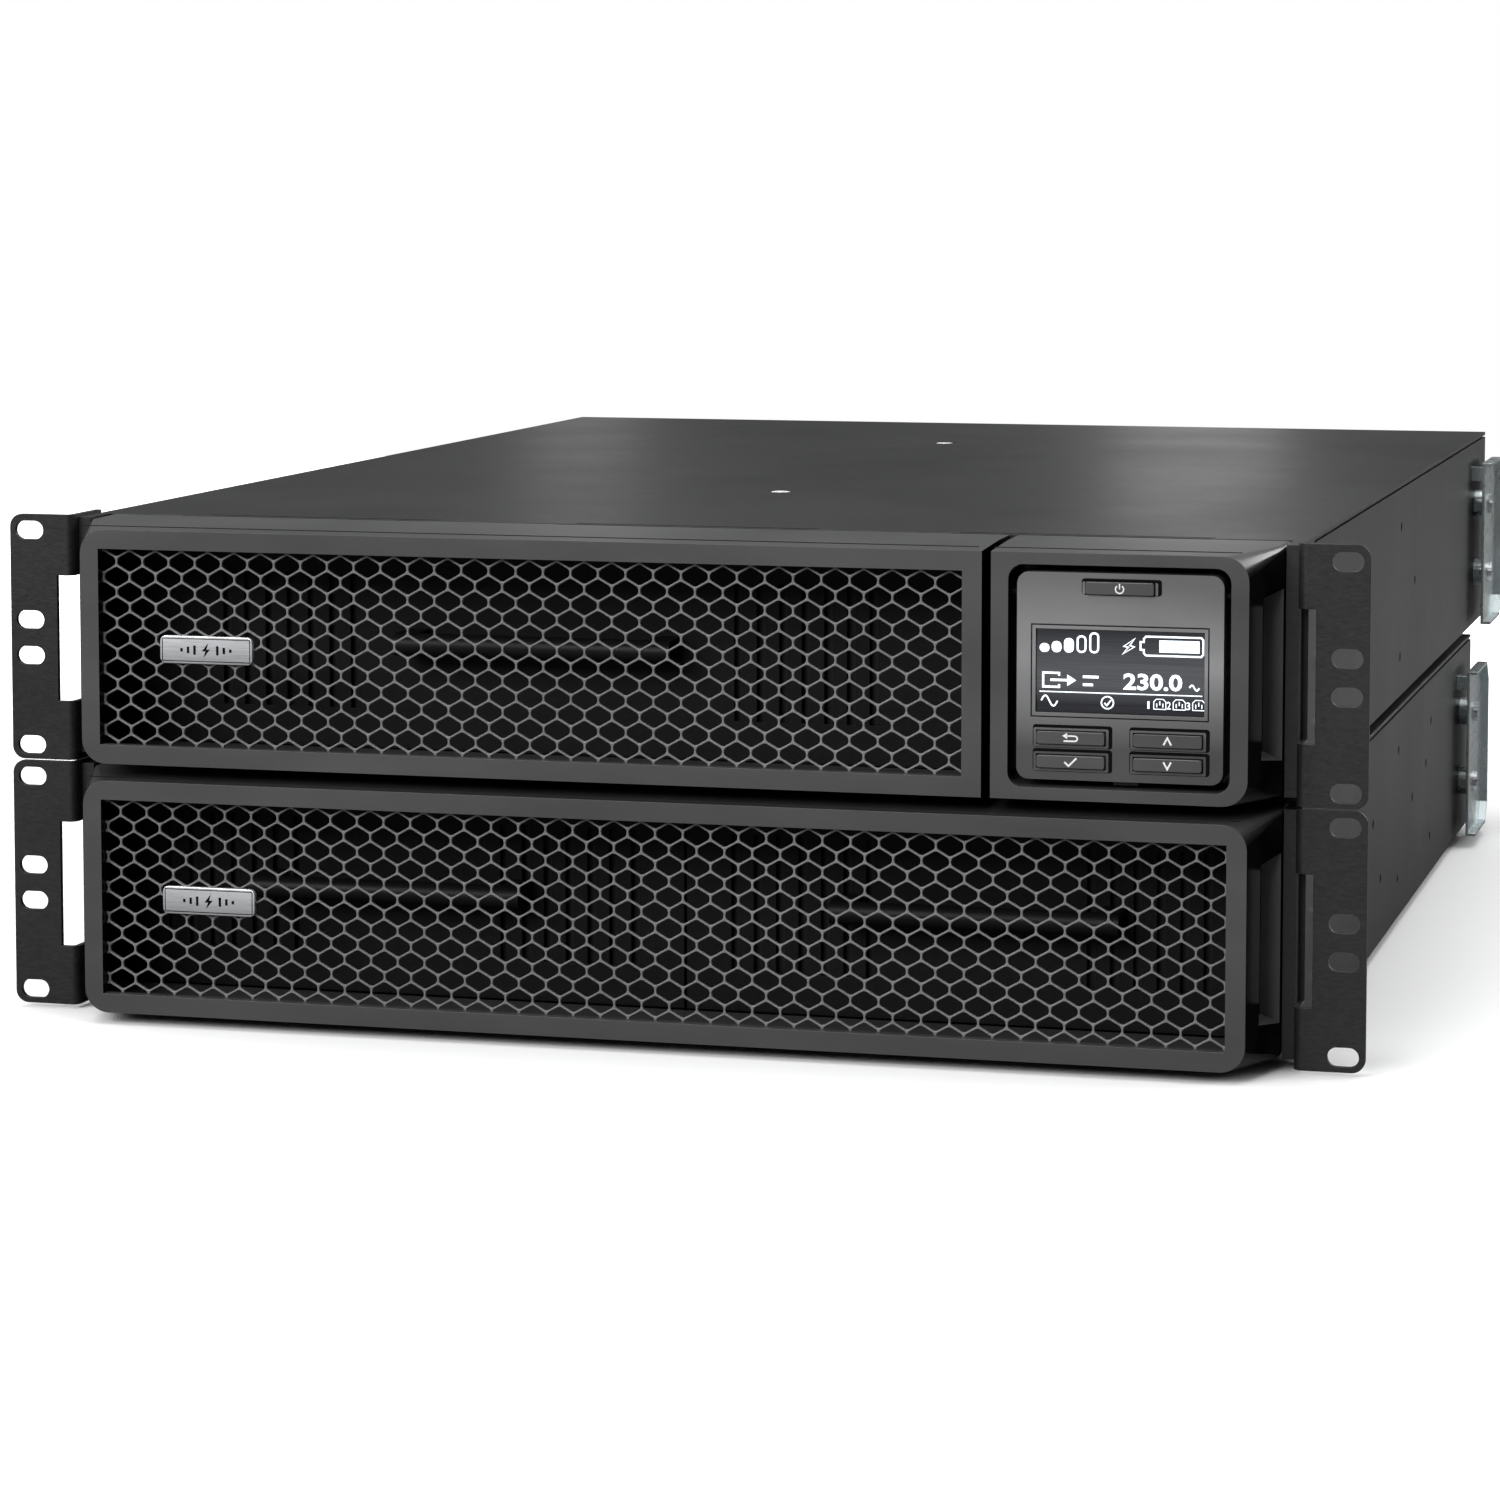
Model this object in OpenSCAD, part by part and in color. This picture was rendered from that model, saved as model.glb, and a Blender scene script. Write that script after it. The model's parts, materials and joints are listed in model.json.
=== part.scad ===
// Two-unit rack power supply standing on its matching external battery pack.
// Each case is a 2U sheet-metal box with slotted rack ears and a mesh bezel.
// X runs to the right, +Y to the rear and +Z up. The origin is the middle of the
// footprint on the floor.

/* [Rack fit] */
// Distance between the left and the right mounting slots
slot_span = 465.1; // [464:0.1:466]
// Overall width across the rack ears
ear_span = 479.8; // [478:0.1:482.6]
// Height of a rack ear
ear_h = 87; // [86:0.1:87.2]
// Thickness of the ear sheet
ear_t = 2; // [1.5:0.1:2.5]
// Length of a mounting slot
slot_len = 10.5; // [9:0.5:12]
// Height of a mounting slot
slot_h = 6.5; // [6:0.1:7]
// Height of the finger cut-out at the bend of an ear
grip_h = 44.5; // [35:0.5:50]

/* [Cases] */
// Width of both cases
case_w = 432; // [428:1:436]
// Height of one case without its feet
case_h = 83.5; // [83:0.1:84.5]
// Height of the feet
foot_h = 4; // [3:0.5:6]
// Depth of the power unit behind the ear plane
ups_d = 606; // [600:1:640]
// Depth of the battery pack behind the ear plane
pack_d = 554; // [540:1:600]
// Thickness of the case sheet
sheet = 1.2; // [1:0.1:1.5]
// How far the rearmost fittings stand out of the rear panel
rear_stub = 6.6; // [5:0.1:9]

/* [Bezels] */
// How far the bezel face stands in front of the ear plane
bezel_proud = 22.4; // [18:0.1:24]
// Width of the bezel face
face_w = 407.2; // [404:0.1:410]
// Height of the bezel face
face_h = 81.6; // [80:0.1:82]
// Corner radius of the bezel face
face_r = 8.5; // [6:0.5:10]
// Width of the plain rim round the mesh
rim = 6.7; // [5:0.1:9]
// Wall thickness of the moulded bezel
wall = 2.2; // [1.8:0.1:2.6]
// Depth at which the mesh lies behind the face
mesh_depth = 4.2; // [3:0.1:6]
// Sideways distance between mesh cells
cell_pitch = 9.69; // [9.2:0.01:11]
// Height between mesh rows
row_pitch = 5.35; // [5.2:0.05:7]
// Half the length of a cell's upright side
cell_side = 1.3; // [0.8:0.1:1.6]
// Width of a mesh strand
strand = 0.95; // [0.9:0.05:1.4]

/* [Display] */
// Side of the square display panel
panel = 68.4; // [66:0.1:70]
// Free space round the display panel in its recess
panel_gap = 2.5; // [2:0.1:3]
// Width of the lit screen
screen_w = 55.8; // [50:0.1:58]
// Height of the lit screen
screen_h = 27.6; // [24:0.1:30]
// Width of a button opening
button_w = 23.2; // [20:0.1:24]
// Height of a button opening
button_h = 4.8; // [4:0.1:5.2]

/* [Hidden] */
$fn = 48;

// Places of the two cases in the frame of the whole stack
ear_y = bezel_proud - (bezel_proud + ups_d + rear_stub) / 2;
pack_z = foot_h;
ups_z = 2 * foot_h + case_h;

// Case walls
side_x = case_w / 2;
hem_w = 4.5;
hem_y = 5.5;
cover_y = 23.4;
cover_t = 1.4;
cover_slit_x = [-131, 5, 141];
cover_slit_half = 43.5;
seam = 0.8;
shelf_z = case_h - cover_t - seam;
slot_z = case_h / 2 - 0.9;
ear_z = slot_z + 0.3;
slot_rows = [-38.1, -6.35, 6.35, 38.1];
ear_flange_y = 25.5;
tab_z = [18, 41, 64];
bracket_z = [23.2, 54];
rail_hole_r = 2;
rail_hole_y = 286.2;
rail_hole_z = [slot_z - 25.4, slot_z + 25.4];

// Bezel faces
face_z = 0.2;
bezel_y = cover_y - 0.5;
bezel_x = side_x - hem_w - 0.3;
split_l = 115.4;
split_r = 118.4;
mesh_t = 1.2;
mesh_y = mesh_depth - bezel_proud;
open_x = face_w / 2 - rim;
open_z = [face_z + rim, face_z + face_h - rim];
ups_open = [-open_x, split_l - rim];
pack_open = [-open_x, open_x];

// Display: panel centre, depths and the tilt pivot near its upper edge
panel_x = 161;
panel_z = 41;
panel_r = 4;
panel_y = 2 - bezel_proud;
panel_d = 17;
shell_t = 2;
screen_z = 42.8;
button_gap = 0.3;
button_proud = 1.2;
button_x = [145, 177.1];
button_z = [12.9, 20.8];
power_z = 70.35;
pivot_y = panel_y + 6;
pivot_z = panel_z + panel / 2 - 7.2;
pivot_r = 1.5;
recess = panel + 2 * panel_gap + 0.1;
recess_wall = 1.6;

// Rear panel: the middles of its fittings
rear_z = case_h / 2;
fan_x = [-178, -104];
fan_size = 70;
fan_d = 25;
bank_x = [-36, 24];
bank_w = 58;
bank_h = 66;
large_x = 75;
large_z = [22, 60];
inlet_x = 115;
inlet_z = 24;
breaker_x = 115;
breaker_z = 60;
card_x = 178;
card_z = 24;
ports_x = 160;
ports_z = 61;
link_x = 200;
link_z = 61;
toggle_x = 60;
plate_screw_x = [-141, -68, 128];
plate_screw_z = [4, 77];

// Battery cartridges
bay_x = [-214.8, 111.7];
bay_y = 440;
tray_y = [28, 424];
tray_z = [2, 78];
ups_tray_x = [-208, 106];
pack_tray_x = [0.4, 209];
handle_reach = 14;

// ---------- shared shapes ----------

module block(x, y, z) {
    translate([x[0], y[0], z[0]]) cube([x[1] - x[0], y[1] - y[0], z[1] - z[0]]);
}

module both_sides() {
    children();
    mirror([1, 0, 0]) children();
}

module at_ups() { translate([0, ear_y, ups_z]) children(); }

module at_pack() { translate([0, ear_y, pack_z]) children(); }

// Flat outline with round corners
module rounded(w, h, r) {
    square([w - 2 * r, h], center = true);
    square([w, h - 2 * r], center = true);
    for (x = [-1, 1], y = [-1, 1]) translate([x * (w / 2 - r), y * (h / 2 - r)]) circle(r = r);
}

// Mounting slot with round ends
module slot() {
    square([slot_len - slot_h, slot_h], center = true);
    for (s = [-1, 1]) translate([s * (slot_len - slot_h) / 2, 0]) circle(d = slot_h);
}

// Outline in X and Z pushed along +Y from y0 to y1
module push(y0, y1) {
    translate([0, y1, 0]) rotate([90, 0, 0]) linear_extrude(y1 - y0) children();
}

// Round bar or tool along Y
module bar_y(x, z, r, y0, y1) {
    translate([x, y0, z]) rotate([-90, 0, 0]) cylinder(r = r, h = y1 - y0);
}

// Round bar or tool along X
module bar_x(y, z, r, x0, x1) {
    translate([x0, y, z]) rotate([0, 90, 0]) cylinder(r = r, h = x1 - x0);
}

// ---------- case ----------

module side_holes(spots) {
    for (s = spots) both_sides() bar_x(s[0], s[1], rail_hole_r, side_x - 3, side_x + 1);
}

// Bottom, sides, folded front hems and the ledges that carry the cover
module chassis(d, spots) {
    difference() {
        union() {
            block([-side_x, side_x], [cover_y, d], [0, sheet]);
            both_sides() {
                block([side_x - sheet, side_x], [hem_y, d], [0, shelf_z]);
                block([side_x - hem_w, side_x], [hem_y, hem_y + sheet], [0, case_h]);
                block([side_x - hem_w, side_x], [hem_y, cover_y - 0.2], [case_h - sheet, case_h]);
                block([side_x - hem_w, side_x], [hem_y, cover_y], [0, sheet]);
                block([side_x - sheet, side_x], [hem_y, cover_y - 0.2], [0, case_h]);
                block([side_x - 12, side_x], [cover_y, d - 2], [shelf_z - sheet, shelf_z]);
            }
            block([-side_x, side_x], [cover_y, cover_y + 10], [shelf_z - sheet, shelf_z]);
        }
        side_holes(spots);
    }
}

// Flat lid on a narrower step, which leaves the dark seam along the sides;
// three shallow slits run behind its front edge
module cover(d, dimples) {
    difference() {
        union() {
            block([-side_x, side_x], [cover_y, d], [case_h - cover_t, case_h]);
            block([-side_x + 2, side_x - 2], [cover_y, d - 2], [shelf_z, case_h - cover_t]);
        }
        for (x = cover_slit_x) {
            block([-1, 1] * cover_slit_half + [x, x], [cover_y + 1, cover_y + 4], [case_h - 0.9, case_h + 1]);
        }
        for (y = dimples) translate([-6.6, y, case_h - 2]) {
            cylinder(r1 = 3, r2 = 6, h = 2);
            translate([0, 0, -2]) cylinder(r = 2.6, h = 3);
        }
    }
}

module rear_plate(d) {
    difference() {
        block([-side_x + sheet, side_x - sheet], [d - sheet, d], [sheet, shelf_z - sheet]);
        for (x = plate_screw_x, z = plate_screw_z) bar_y(x, z, 1.6, d - 3, d + 1);
    }
}

// Folded ear: slotted front flange, side flange and the mounting tab behind it
module ear() {
    bend = 3;
    tab_y = 58;
    difference() {
        intersection() {
            translate([0, 0, ear_z - ear_h / 2]) linear_extrude(ear_h) difference() {
                union() {
                    translate([side_x, bend]) square([ear_t, ear_flange_y - bend]);
                    translate([side_x + bend, 0]) square([ear_span / 2 - side_x - bend, ear_t]);
                    intersection() {
                        translate([side_x, 0]) square([bend, bend]);
                        translate([side_x + bend, bend]) circle(r = bend);
                    }
                }
                translate([side_x + bend, bend]) circle(r = bend - ear_t);
            }
            union() {
                push(-1, ear_t + 1) translate([ear_span / 2 - 30, ear_z]) rounded(60, ear_h, 4.5);
                block([side_x - 1, side_x + bend], [-1, tab_y], [0, 100] + [1, 1] * (ear_z - 50));
            }
        }
        for (z = slot_rows) push(-1, ear_t + 1) translate([slot_span / 2, slot_z + z]) slot();
        block([side_x - 1, side_x + 6.2], [-1, 12.5], [-1, 1] * grip_h / 2 + [1, 1] * slot_z);
    }
    difference() {
        block([side_x, side_x + ear_t], [ear_flange_y, tab_y], [8, case_h - 12]);
        for (z = tab_z) bar_x(46, z, 2.2, side_x - 1, side_x + ear_t + 1);
    }
}

module ears() { both_sides() ear(); }

// Plated pan-shaped plate held off the case side by two bosses and a corner tab
module rear_bracket(d) {
    y = [d - 59, d - 9];
    z = [1.3, 73.3];
    x = side_x + 4.8;
    cut = 8;
    outline = [[y[0], z[0]], [y[1] - cut, z[0]], [y[1], z[0] + cut], [y[1], z[1] - cut],
        [y[1] - cut, z[1]], [y[0], z[1]]];
    difference() {
        translate([x, 0, 0]) rotate([90, 0, 90]) linear_extrude(4.4) polygon(outline);
        translate([x + sheet, 0, 0]) rotate([90, 0, 90]) linear_extrude(5)
            inner_outline(outline, sheet);
        for (s = bracket_z) bar_x(d - 41, s, 2.2, x - 1, x + 6);
    }
    for (s = bracket_z) difference() {
        bar_x(d - 41, s, 6, side_x, x);
        bar_x(d - 41, s, 2.2, side_x - 1, x + 1);
    }
    block([side_x, x], [y[0], y[0] + 6], [z[1] - 8, z[1] - 2]);
}

// The same outline moved inwards, left open along its front edge
module inner_outline(p, t) {
    polygon([[p[0][0] - 1, p[0][1] + t], [p[1][0] - t / 2, p[1][1] + t],
        [p[2][0] - t, p[2][1] + t / 2], [p[3][0] - t, p[3][1] - t / 2],
        [p[4][0] - t / 2, p[4][1] - t], [p[5][0] - 1, p[5][1] - t]]);
}

// ---------- bezel ----------

// Solid that widens from the round-cornered face to the case width
module bezel_loft(inset) {
    y = inset > 0 ? 10 : 0;
    hull() {
        push(inset - bezel_proud, inset - bezel_proud + 0.1)
            translate([0, face_z + face_h / 2])
            rounded(face_w - 2 * inset, face_h - 2 * inset, face_r - inset, $fn = 32);
        push(hem_y - 0.6, hem_y - 0.5) translate([0, face_z + 41.5])
            rounded(2 * bezel_x - 2 * inset, 82.8 - 2 * inset, 2, $fn = 16);
        push(bezel_y + y - 0.1, bezel_y + y) translate([0, face_z + 41.6])
            rounded(2 * bezel_x - 2 * inset, 83 - 2 * inset, 2, $fn = 16);
    }
}

// Finger scoop in the side wall, with sloping ends; grow thickens it into its housing
module scoop(grow) {
    in_x = 204.5 - grow;
    low = slot_z - 25.5 - grow;
    high = slot_z + 25.5 + grow;
    push(-12 - grow, hem_y - 1.6 + grow) polygon([[in_x, low], [218, low - 6],
        [218, high + 6], [in_x, high]]);
}

// Hollow bezel between two X limits, open at the back, with end walls and finger scoops
module bezel_shell(x) {
    intersection() {
        difference() {
            bezel_loft(0);
            difference() {
                bezel_loft(wall);
                both_sides() scoop(1.6);
                block([x[0] - 9, x[0] + wall], [-40, 40], [-9, 99]);
                block([x[1] - wall, x[1] + 9], [-40, 40], [-9, 99]);
            }
            both_sides() scoop(0);
            for (s = [[-183.6, -93.9], [-45, 45], [95, 183.6]])
                block(s, [bezel_y - 0.8, bezel_y + 1], [case_h - 4, case_h + 1]);
        }
        block(x, [-40, 40], [-9, 99]);
    }
}

// Bezel with a mesh window; the window's lip carries the mesh
module window_frame(x, window) {
    lip = 1.5;
    difference() {
        union() {
            bezel_shell(x);
            block(window + [-lip, lip], [-bezel_proud + 1, mesh_y], open_z + [-lip, lip]);
        }
        block(window, [-bezel_proud - 1, mesh_y + 1], open_z);
    }
}

// One mesh cell: a wide hexagon with short upright sides
module cell() {
    slope = atan((row_pitch - 2 * cell_side) / (cell_pitch / 2));
    half_w = (cell_pitch - strand) / 2;
    peak = row_pitch - cell_side - strand / 2 / cos(slope);
    upright = peak - half_w * tan(slope);
    polygon([[half_w, upright], [0, peak], [-half_w, upright],
        [-half_w, -upright], [0, -peak], [half_w, -upright]]);
}

// Mesh cut from larger stock, so the cells run on past its edges
module mesh_sheet(window) {
    edge = 2.2;
    span = window[1] - window[0];
    tall = open_z[1] - open_z[0];
    cols = floor(span / cell_pitch - 0.5);
    rows = ceil(tall / row_pitch / 2);
    left = (window[0] + window[1] - (cols + 0.5) * cell_pitch) / 2;
    mid = (open_z[0] + open_z[1]) / 2;
    push(mesh_y, mesh_y + mesh_t) difference() {
        translate([window[0] - edge, open_z[0] - edge]) square([span + 2 * edge, tall + 2 * edge]);
        for (j = [-rows:rows - 1], i = [-1:cols + 1])
            translate([left + (i + (j % 2 == 0 ? 0.5 : 0)) * cell_pitch, mid + (j + 0.5) * row_pitch])
                cell();
    }
}

// Blank name plate on the mesh
module badge() {
    push(mesh_y - 2.2, mesh_y) translate([-158, slot_z - 0.2]) rounded(34, 9.6, 2);
}

// ---------- display ----------

// Bezel with the box-shaped recess for the display and a cable hole in its floor
module display_bezel() {
    back = 3;
    outer = recess + 2 * recess_wall;
    color("#3a3b3d") at_ups() difference() {
        union() {
            bezel_shell([split_r, 999]);
            push(-bezel_proud + 1, back) translate([panel_x, panel_z]) rounded(outer, outer, 6);
        }
        push(-bezel_proud - 1, back - recess_wall) translate([panel_x, panel_z])
            rounded(recess, recess, 5);
        bar_x(pivot_y, pivot_z, pivot_r + 0.01, panel_x - outer / 2 - 1, panel_x + outer / 2 + 1);
        push(0, back + 1) translate([panel_x, panel_z]) rounded(30, 14, 3);
    }
}

// Square housing of the display with its screen window and button openings
module display_shell() {
    color("#4b4c4e") at_ups() difference() {
        push(panel_y, panel_y + panel_d) translate([panel_x, panel_z]) rounded(panel, panel, panel_r);
        push(panel_y + shell_t, panel_y + panel_d + 1) translate([panel_x, panel_z])
            rounded(panel - 2 * shell_t, panel - 2 * shell_t, panel_r - shell_t);
        push(panel_y - 1, panel_y + shell_t + 1) {
            translate([panel_x, screen_z]) square([screen_w, screen_h], center = true);
            translate([panel_x, power_z]) square([button_w, button_h], center = true);
            for (x = button_x, z = button_z)
                translate([x, z]) square([button_w, button_h], center = true);
        }
        push(panel_y - 1, panel_y + 0.4) translate([panel_x, screen_z]) difference() {
            square([screen_w + 3.2, screen_h + 3.2], center = true);
            square([screen_w + 2.4, screen_h + 2.4], center = true);
        }
        bar_x(pivot_y, pivot_z, pivot_r + 0.05, panel_x - panel, panel_x + panel);
        release_block(0.3, 0.3, [panel_z - panel / 2 - 1, panel_z - panel / 2 + 3]);
    }
}

module display_lens() {
    color("#1c1f24") at_ups() push(panel_y + 0.8, panel_y + 2)
        translate([panel_x, screen_z]) square([screen_w - 0.4, screen_h - 0.4], center = true);
}

// Circuit board with the screen module, five key switches and four posts
module display_board() {
    y = panel_y + 8.4;
    color("#1f5a34") at_ups() {
        block([129.6, 192.4], [y, y + 1.6], [9.6, 68.6]);
        block([132, 190], [panel_y + 2, y], [27.6, 58]);
        for (x = [130.4, 191.6], z = [12, 64]) bar_y(x, z, 1.2, panel_y + shell_t, y);
        for (x = button_x, z = button_z) block([x - 2, x + 2], [y - 1.2, y], [z - 2, z + 2]);
        block([panel_x - 2, panel_x + 2], [y - 1.2, y], [power_z - 5, power_z - 2]);
    }
}

// Pins fixed in the recess walls, on which the shell swings
module display_pins() {
    inner = panel / 2 - shell_t - 0.8;
    outer = recess / 2 + recess_wall;
    color("silver") at_ups() for (x = [[-outer, -inner], [inner, outer]])
        bar_x(pivot_y, pivot_z, pivot_r, panel_x + x[0], panel_x + x[1]);
}

// Upright bar of the release key; the two margins widen it sideways and in depth
module release_block(side, deep, z) {
    y = panel_y + 4.9;
    block([panel_x - 2.6 - side, panel_x + 5.6 + side], [y - deep, y + 2.4 + deep], z);
}

module display_release() {
    low = panel_z - panel / 2;
    color("#77787a") at_ups() {
        release_block(0, 0, [low - 1.7, low + 4.2]);
        release_block(1.2, 0, [low + 2.4, low + 4.2]);
    }
}

// Key cap with its retaining flange and stem
module key(x, z) {
    w = button_w - 2 * button_gap;
    h = button_h - 2 * button_gap;
    back = panel_y + shell_t + button_gap;
    push(panel_y - button_proud, back) translate([x, z]) rounded(w, h, 0.8);
    push(back, back + 1) translate([x, z]) rounded(w + 2.4, h + 2.2, 0.8);
    push(back + 1, panel_y + 5.8) translate([x, z]) square([3, 3], center = true);
}

module power_button() {
    w = button_w - 2 * button_gap;
    h = button_h - 2 * button_gap;
    back = panel_y + shell_t + button_gap;
    color("#4b4c4e") at_ups() {
        push(panel_y - button_proud, back) translate([panel_x, power_z]) rounded(w, h, 0.8);
        push(back, back + 1) translate([panel_x, power_z - 1.2]) square([w + 2.4, h], center = true);
        push(back + 1, panel_y + 5.8) translate([panel_x, power_z - 3.2]) square([3, 2], center = true);
        push(back, back + 1) translate([panel_x, power_z - 3.2]) square([3, 4], center = true);
    }
}

module escape_button() { color("#4b4c4e") at_ups() key(button_x[0], button_z[1]); }

module enter_button() { color("#4b4c4e") at_ups() key(button_x[0], button_z[0]); }

module up_button() { color("#4b4c4e") at_ups() key(button_x[1], button_z[1]); }

module down_button() { color("#4b4c4e") at_ups() key(button_x[1], button_z[0]); }

// ---------- batteries ----------

// Open sheet tray with a solid front plate
module tray(x) {
    block(x, tray_y, [tray_z[0], tray_z[0] + sheet]);
    for (s = [x[0], x[1] - sheet]) block([s, s + sheet], tray_y, [tray_z[0], 60]);
    difference() {
        block(x, [tray_y[0], tray_y[0] + sheet], tray_z);
        for (i = [-3:3], s = [0.2, 0.8])
            block((x[0] * (1 - s) + x[1] * s + i * 8) * [1, 1] + [-1.5, 1.5],
                [tray_y[0] - 1, tray_y[0] + 3], [16, 64]);
    }
    block(x, [tray_y[1] - sheet, tray_y[1]], [tray_z[0], 60]);
}

// Fixed pull handle: two feet and a round bar
module pull_handle(mid) {
    bar_r = 4;
    y = tray_y[0] - handle_reach;
    translate([mid - 50, y, slot_z]) rotate([0, 90, 0]) cylinder(r = bar_r, h = 100);
    for (s = [-1, 1]) block(mid * [1, 1] + s * 46 * [1, 1] + [-4, 4], [y, tray_y[0]],
        slot_z * [1, 1] + [-4, 4]);
}

// Grid of sealed batteries with two terminal blades each
module blocks(x0, cols, rows, w, l, h) {
    for (i = [0:cols - 1], j = [0:rows - 1]) {
        bx = x0 + i * (w + 0.4);
        by = tray_y[0] + 3 + j * (l + 0.4);
        bz = tray_z[0] + sheet;
        block([bx, bx + w], [by, by + l], [bz, bz + h]);
        block([bx + 1, bx + w - 1], [by + 1, by + l - 1], [bz + h, bz + h + 2]);
        for (s = [12, w - 18]) block([bx + s, bx + s + 6], [by + 8, by + 9], [bz + h + 2, bz + h + 7]);
    }
}

module battery_tray() { color("#3b3c3f") at_ups() tray(ups_tray_x); }

module battery_handle() { color("#202124") at_ups() pull_handle((ups_tray_x[0] + ups_tray_x[1]) / 2); }

module battery_blocks() { color("#2c2d30") at_ups() blocks(ups_tray_x[0] + 3, 2, 4, 151, 94, 65); }

// Sheet wall round the battery bay
module battery_bay_wall() {
    top = shelf_z - sheet;
    color("#7d8083") at_ups() {
        block([bay_x[1] - sheet, bay_x[1]], [cover_y + 2, bay_y], [sheet, top]);
        block([bay_x[0], bay_x[1]], [bay_y, bay_y + sheet], [sheet, top]);
    }
}

// ---------- power electronics ----------

module power_board() {
    color("#1f5a34") at_ups() {
        block([118, 212], [60, 430], [8, 9.6]);
        for (x = [122, 208], y = [70, 420]) translate([x, y, sheet]) cylinder(r = 3, h = 8 - sheet);
        block([-200, 100], [456, 550], [8, 9.6]);
        for (x = [-190, 90], y = [464, 542]) translate([x, y, sheet]) cylinder(r = 3, h = 8 - sheet);
    }
}

// Base with a row of fins along the airflow
module heat_sink(x, y0, y1) {
    fins = 9;
    block([x, x + 44], [y0, y1], [9.6, 15]);
    for (i = [0:fins - 1]) block([x + i * 5.3, x + i * 5.3 + 1.6], [y0, y1], [15, 48]);
}

module heat_sinks() {
    color("#b8bcc0") at_ups() {
        heat_sink(122, 90, 260);
        heat_sink(-190, 462, 545);
    }
}

module capacitors() {
    color("#23324a") at_ups() {
        for (i = [0:2], j = [0:1]) translate([178 + j * 24, 110 + i * 40, 9.6]) cylinder(r = 10.5, h = 46);
        for (i = [0:3]) translate([-110 + i * 34, 484, 9.6]) cylinder(r = 15, h = 50);
    }
}

module inductors() {
    color("#a8672c") at_ups() {
        for (y = [300, 366]) translate([164, y, 27]) rotate_extrude() translate([17, 0]) circle(r = 9);
        for (y = [300, 366]) translate([164, y, 9.6]) cylinder(r = 6, h = 18);
        translate([62, 505, 33]) rotate_extrude() translate([20, 0]) circle(r = 12);
        translate([62, 505, 9.6]) cylinder(r = 8.5, h = 18);
    }
}

// ---------- rear fittings ----------

// Outline of the fan's square frame with its round duct and corner holes
module fan_outline() {
    difference() {
        rounded(fan_size, fan_size, 4);
        circle(r = 33);
        for (s = [-1, 1], t = [-1, 1]) translate([s * 30.5, t * 30.5]) circle(r = 2);
    }
}

// Frame, then a hub plate on three struts and the post of the rotor
module fan_frame(x) {
    y0 = ups_d - sheet - fan_d;
    hub = 15;
    web = 3;
    push(y0 + web, y0 + fan_d) translate([x, rear_z]) fan_outline();
    push(y0, y0 + web) translate([x, rear_z]) {
        fan_outline();
        circle(r = hub);
        for (a = [0, 120, 240]) rotate(a) translate([(hub + 33) / 2, 0]) square([20, 4], center = true);
    }
    bar_y(x, rear_z, 2, y0 + web, y0 + 14);
}

// Hub with seven slanted blades on a blind bore
module fan_rotor(x) {
    y0 = ups_d - sheet - fan_d + 4;
    blades = 7;
    translate([x, y0, rear_z]) difference() {
        union() {
            bar_y(0, 0, 14, 0, 18);
            intersection() {
                for (i = [0:blades - 1]) rotate([0, i * 360 / blades, 0])
                    translate([22, 9, 0]) rotate([38, 0, 0]) cube([22, 1.6, 21], center = true);
                bar_y(0, 0, 31.5, 1, 17);
            }
        }
        bar_y(0, 0, 2.05, -1, 12);
    }
}

// Guard: four rings on a cross of spokes, fixed at the corners of the fan
module fan_guard(x) {
    wire = 1.8;
    push(ups_d, ups_d + wire) translate([x, rear_z]) {
        for (r = [11, 19, 27, 34]) difference() {
            circle(r = r);
            circle(r = r - wire);
        }
        for (a = [45, 135]) rotate(a) square([88, wire], center = true);
    }
}

module fan_guards() { color("#a9adb0") at_ups() for (x = fan_x) fan_guard(x); }

// Outline of a mains connector with two clipped upper corners
module mains_outline(w, h, clip) {
    polygon([[-w / 2, -h / 2], [w / 2, -h / 2], [w / 2, h / 2 - clip], [w / 2 - clip, h / 2],
        [clip - w / 2, h / 2], [-w / 2, h / 2 - clip]]);
}

// Female outlet: a moat round a block with three contact slots
module outlet_cut(x, z, w, h) {
    depth = 15;
    push(ups_d + 2.2 - depth, ups_d + 5) translate([x, z]) difference() {
        mains_outline(w, h, h / 4);
        mains_outline(w - 4.6, h - 4.6, h / 4 - 1.4);
    }
    push(ups_d + 2.2 - depth, ups_d + 5) translate([x, z]) {
        for (s = [-1, 1]) translate([s * w / 4, -1]) square([2, h / 3], center = true);
        translate([0, h / 6]) square([2, h / 3.4], center = true);
    }
}

module outlet_bank(x) {
    difference() {
        union() {
            push(ups_d, ups_d + 2.2) translate([x, rear_z]) rounded(bank_w, bank_h, 2);
            block([x - 27, x + 27], [ups_d - 22, ups_d], [rear_z - 29, rear_z + 29]);
        }
        for (i = [-1, 1], j = [-1, 1]) outlet_cut(x + i * 14.4, rear_z + j * 15, 26.4, 19.6);
    }
}

module large_outlets() {
    color("#17181a") at_ups() for (z = large_z) difference() {
        union() {
            push(ups_d, ups_d + 2.2) translate([large_x, z]) rounded(37, 32, 2);
            block([large_x - 16, large_x + 16], [ups_d - 24, ups_d], [z - 13, z + 13]);
        }
        outlet_cut(large_x, z, 29, 22.5);
    }
}

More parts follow.
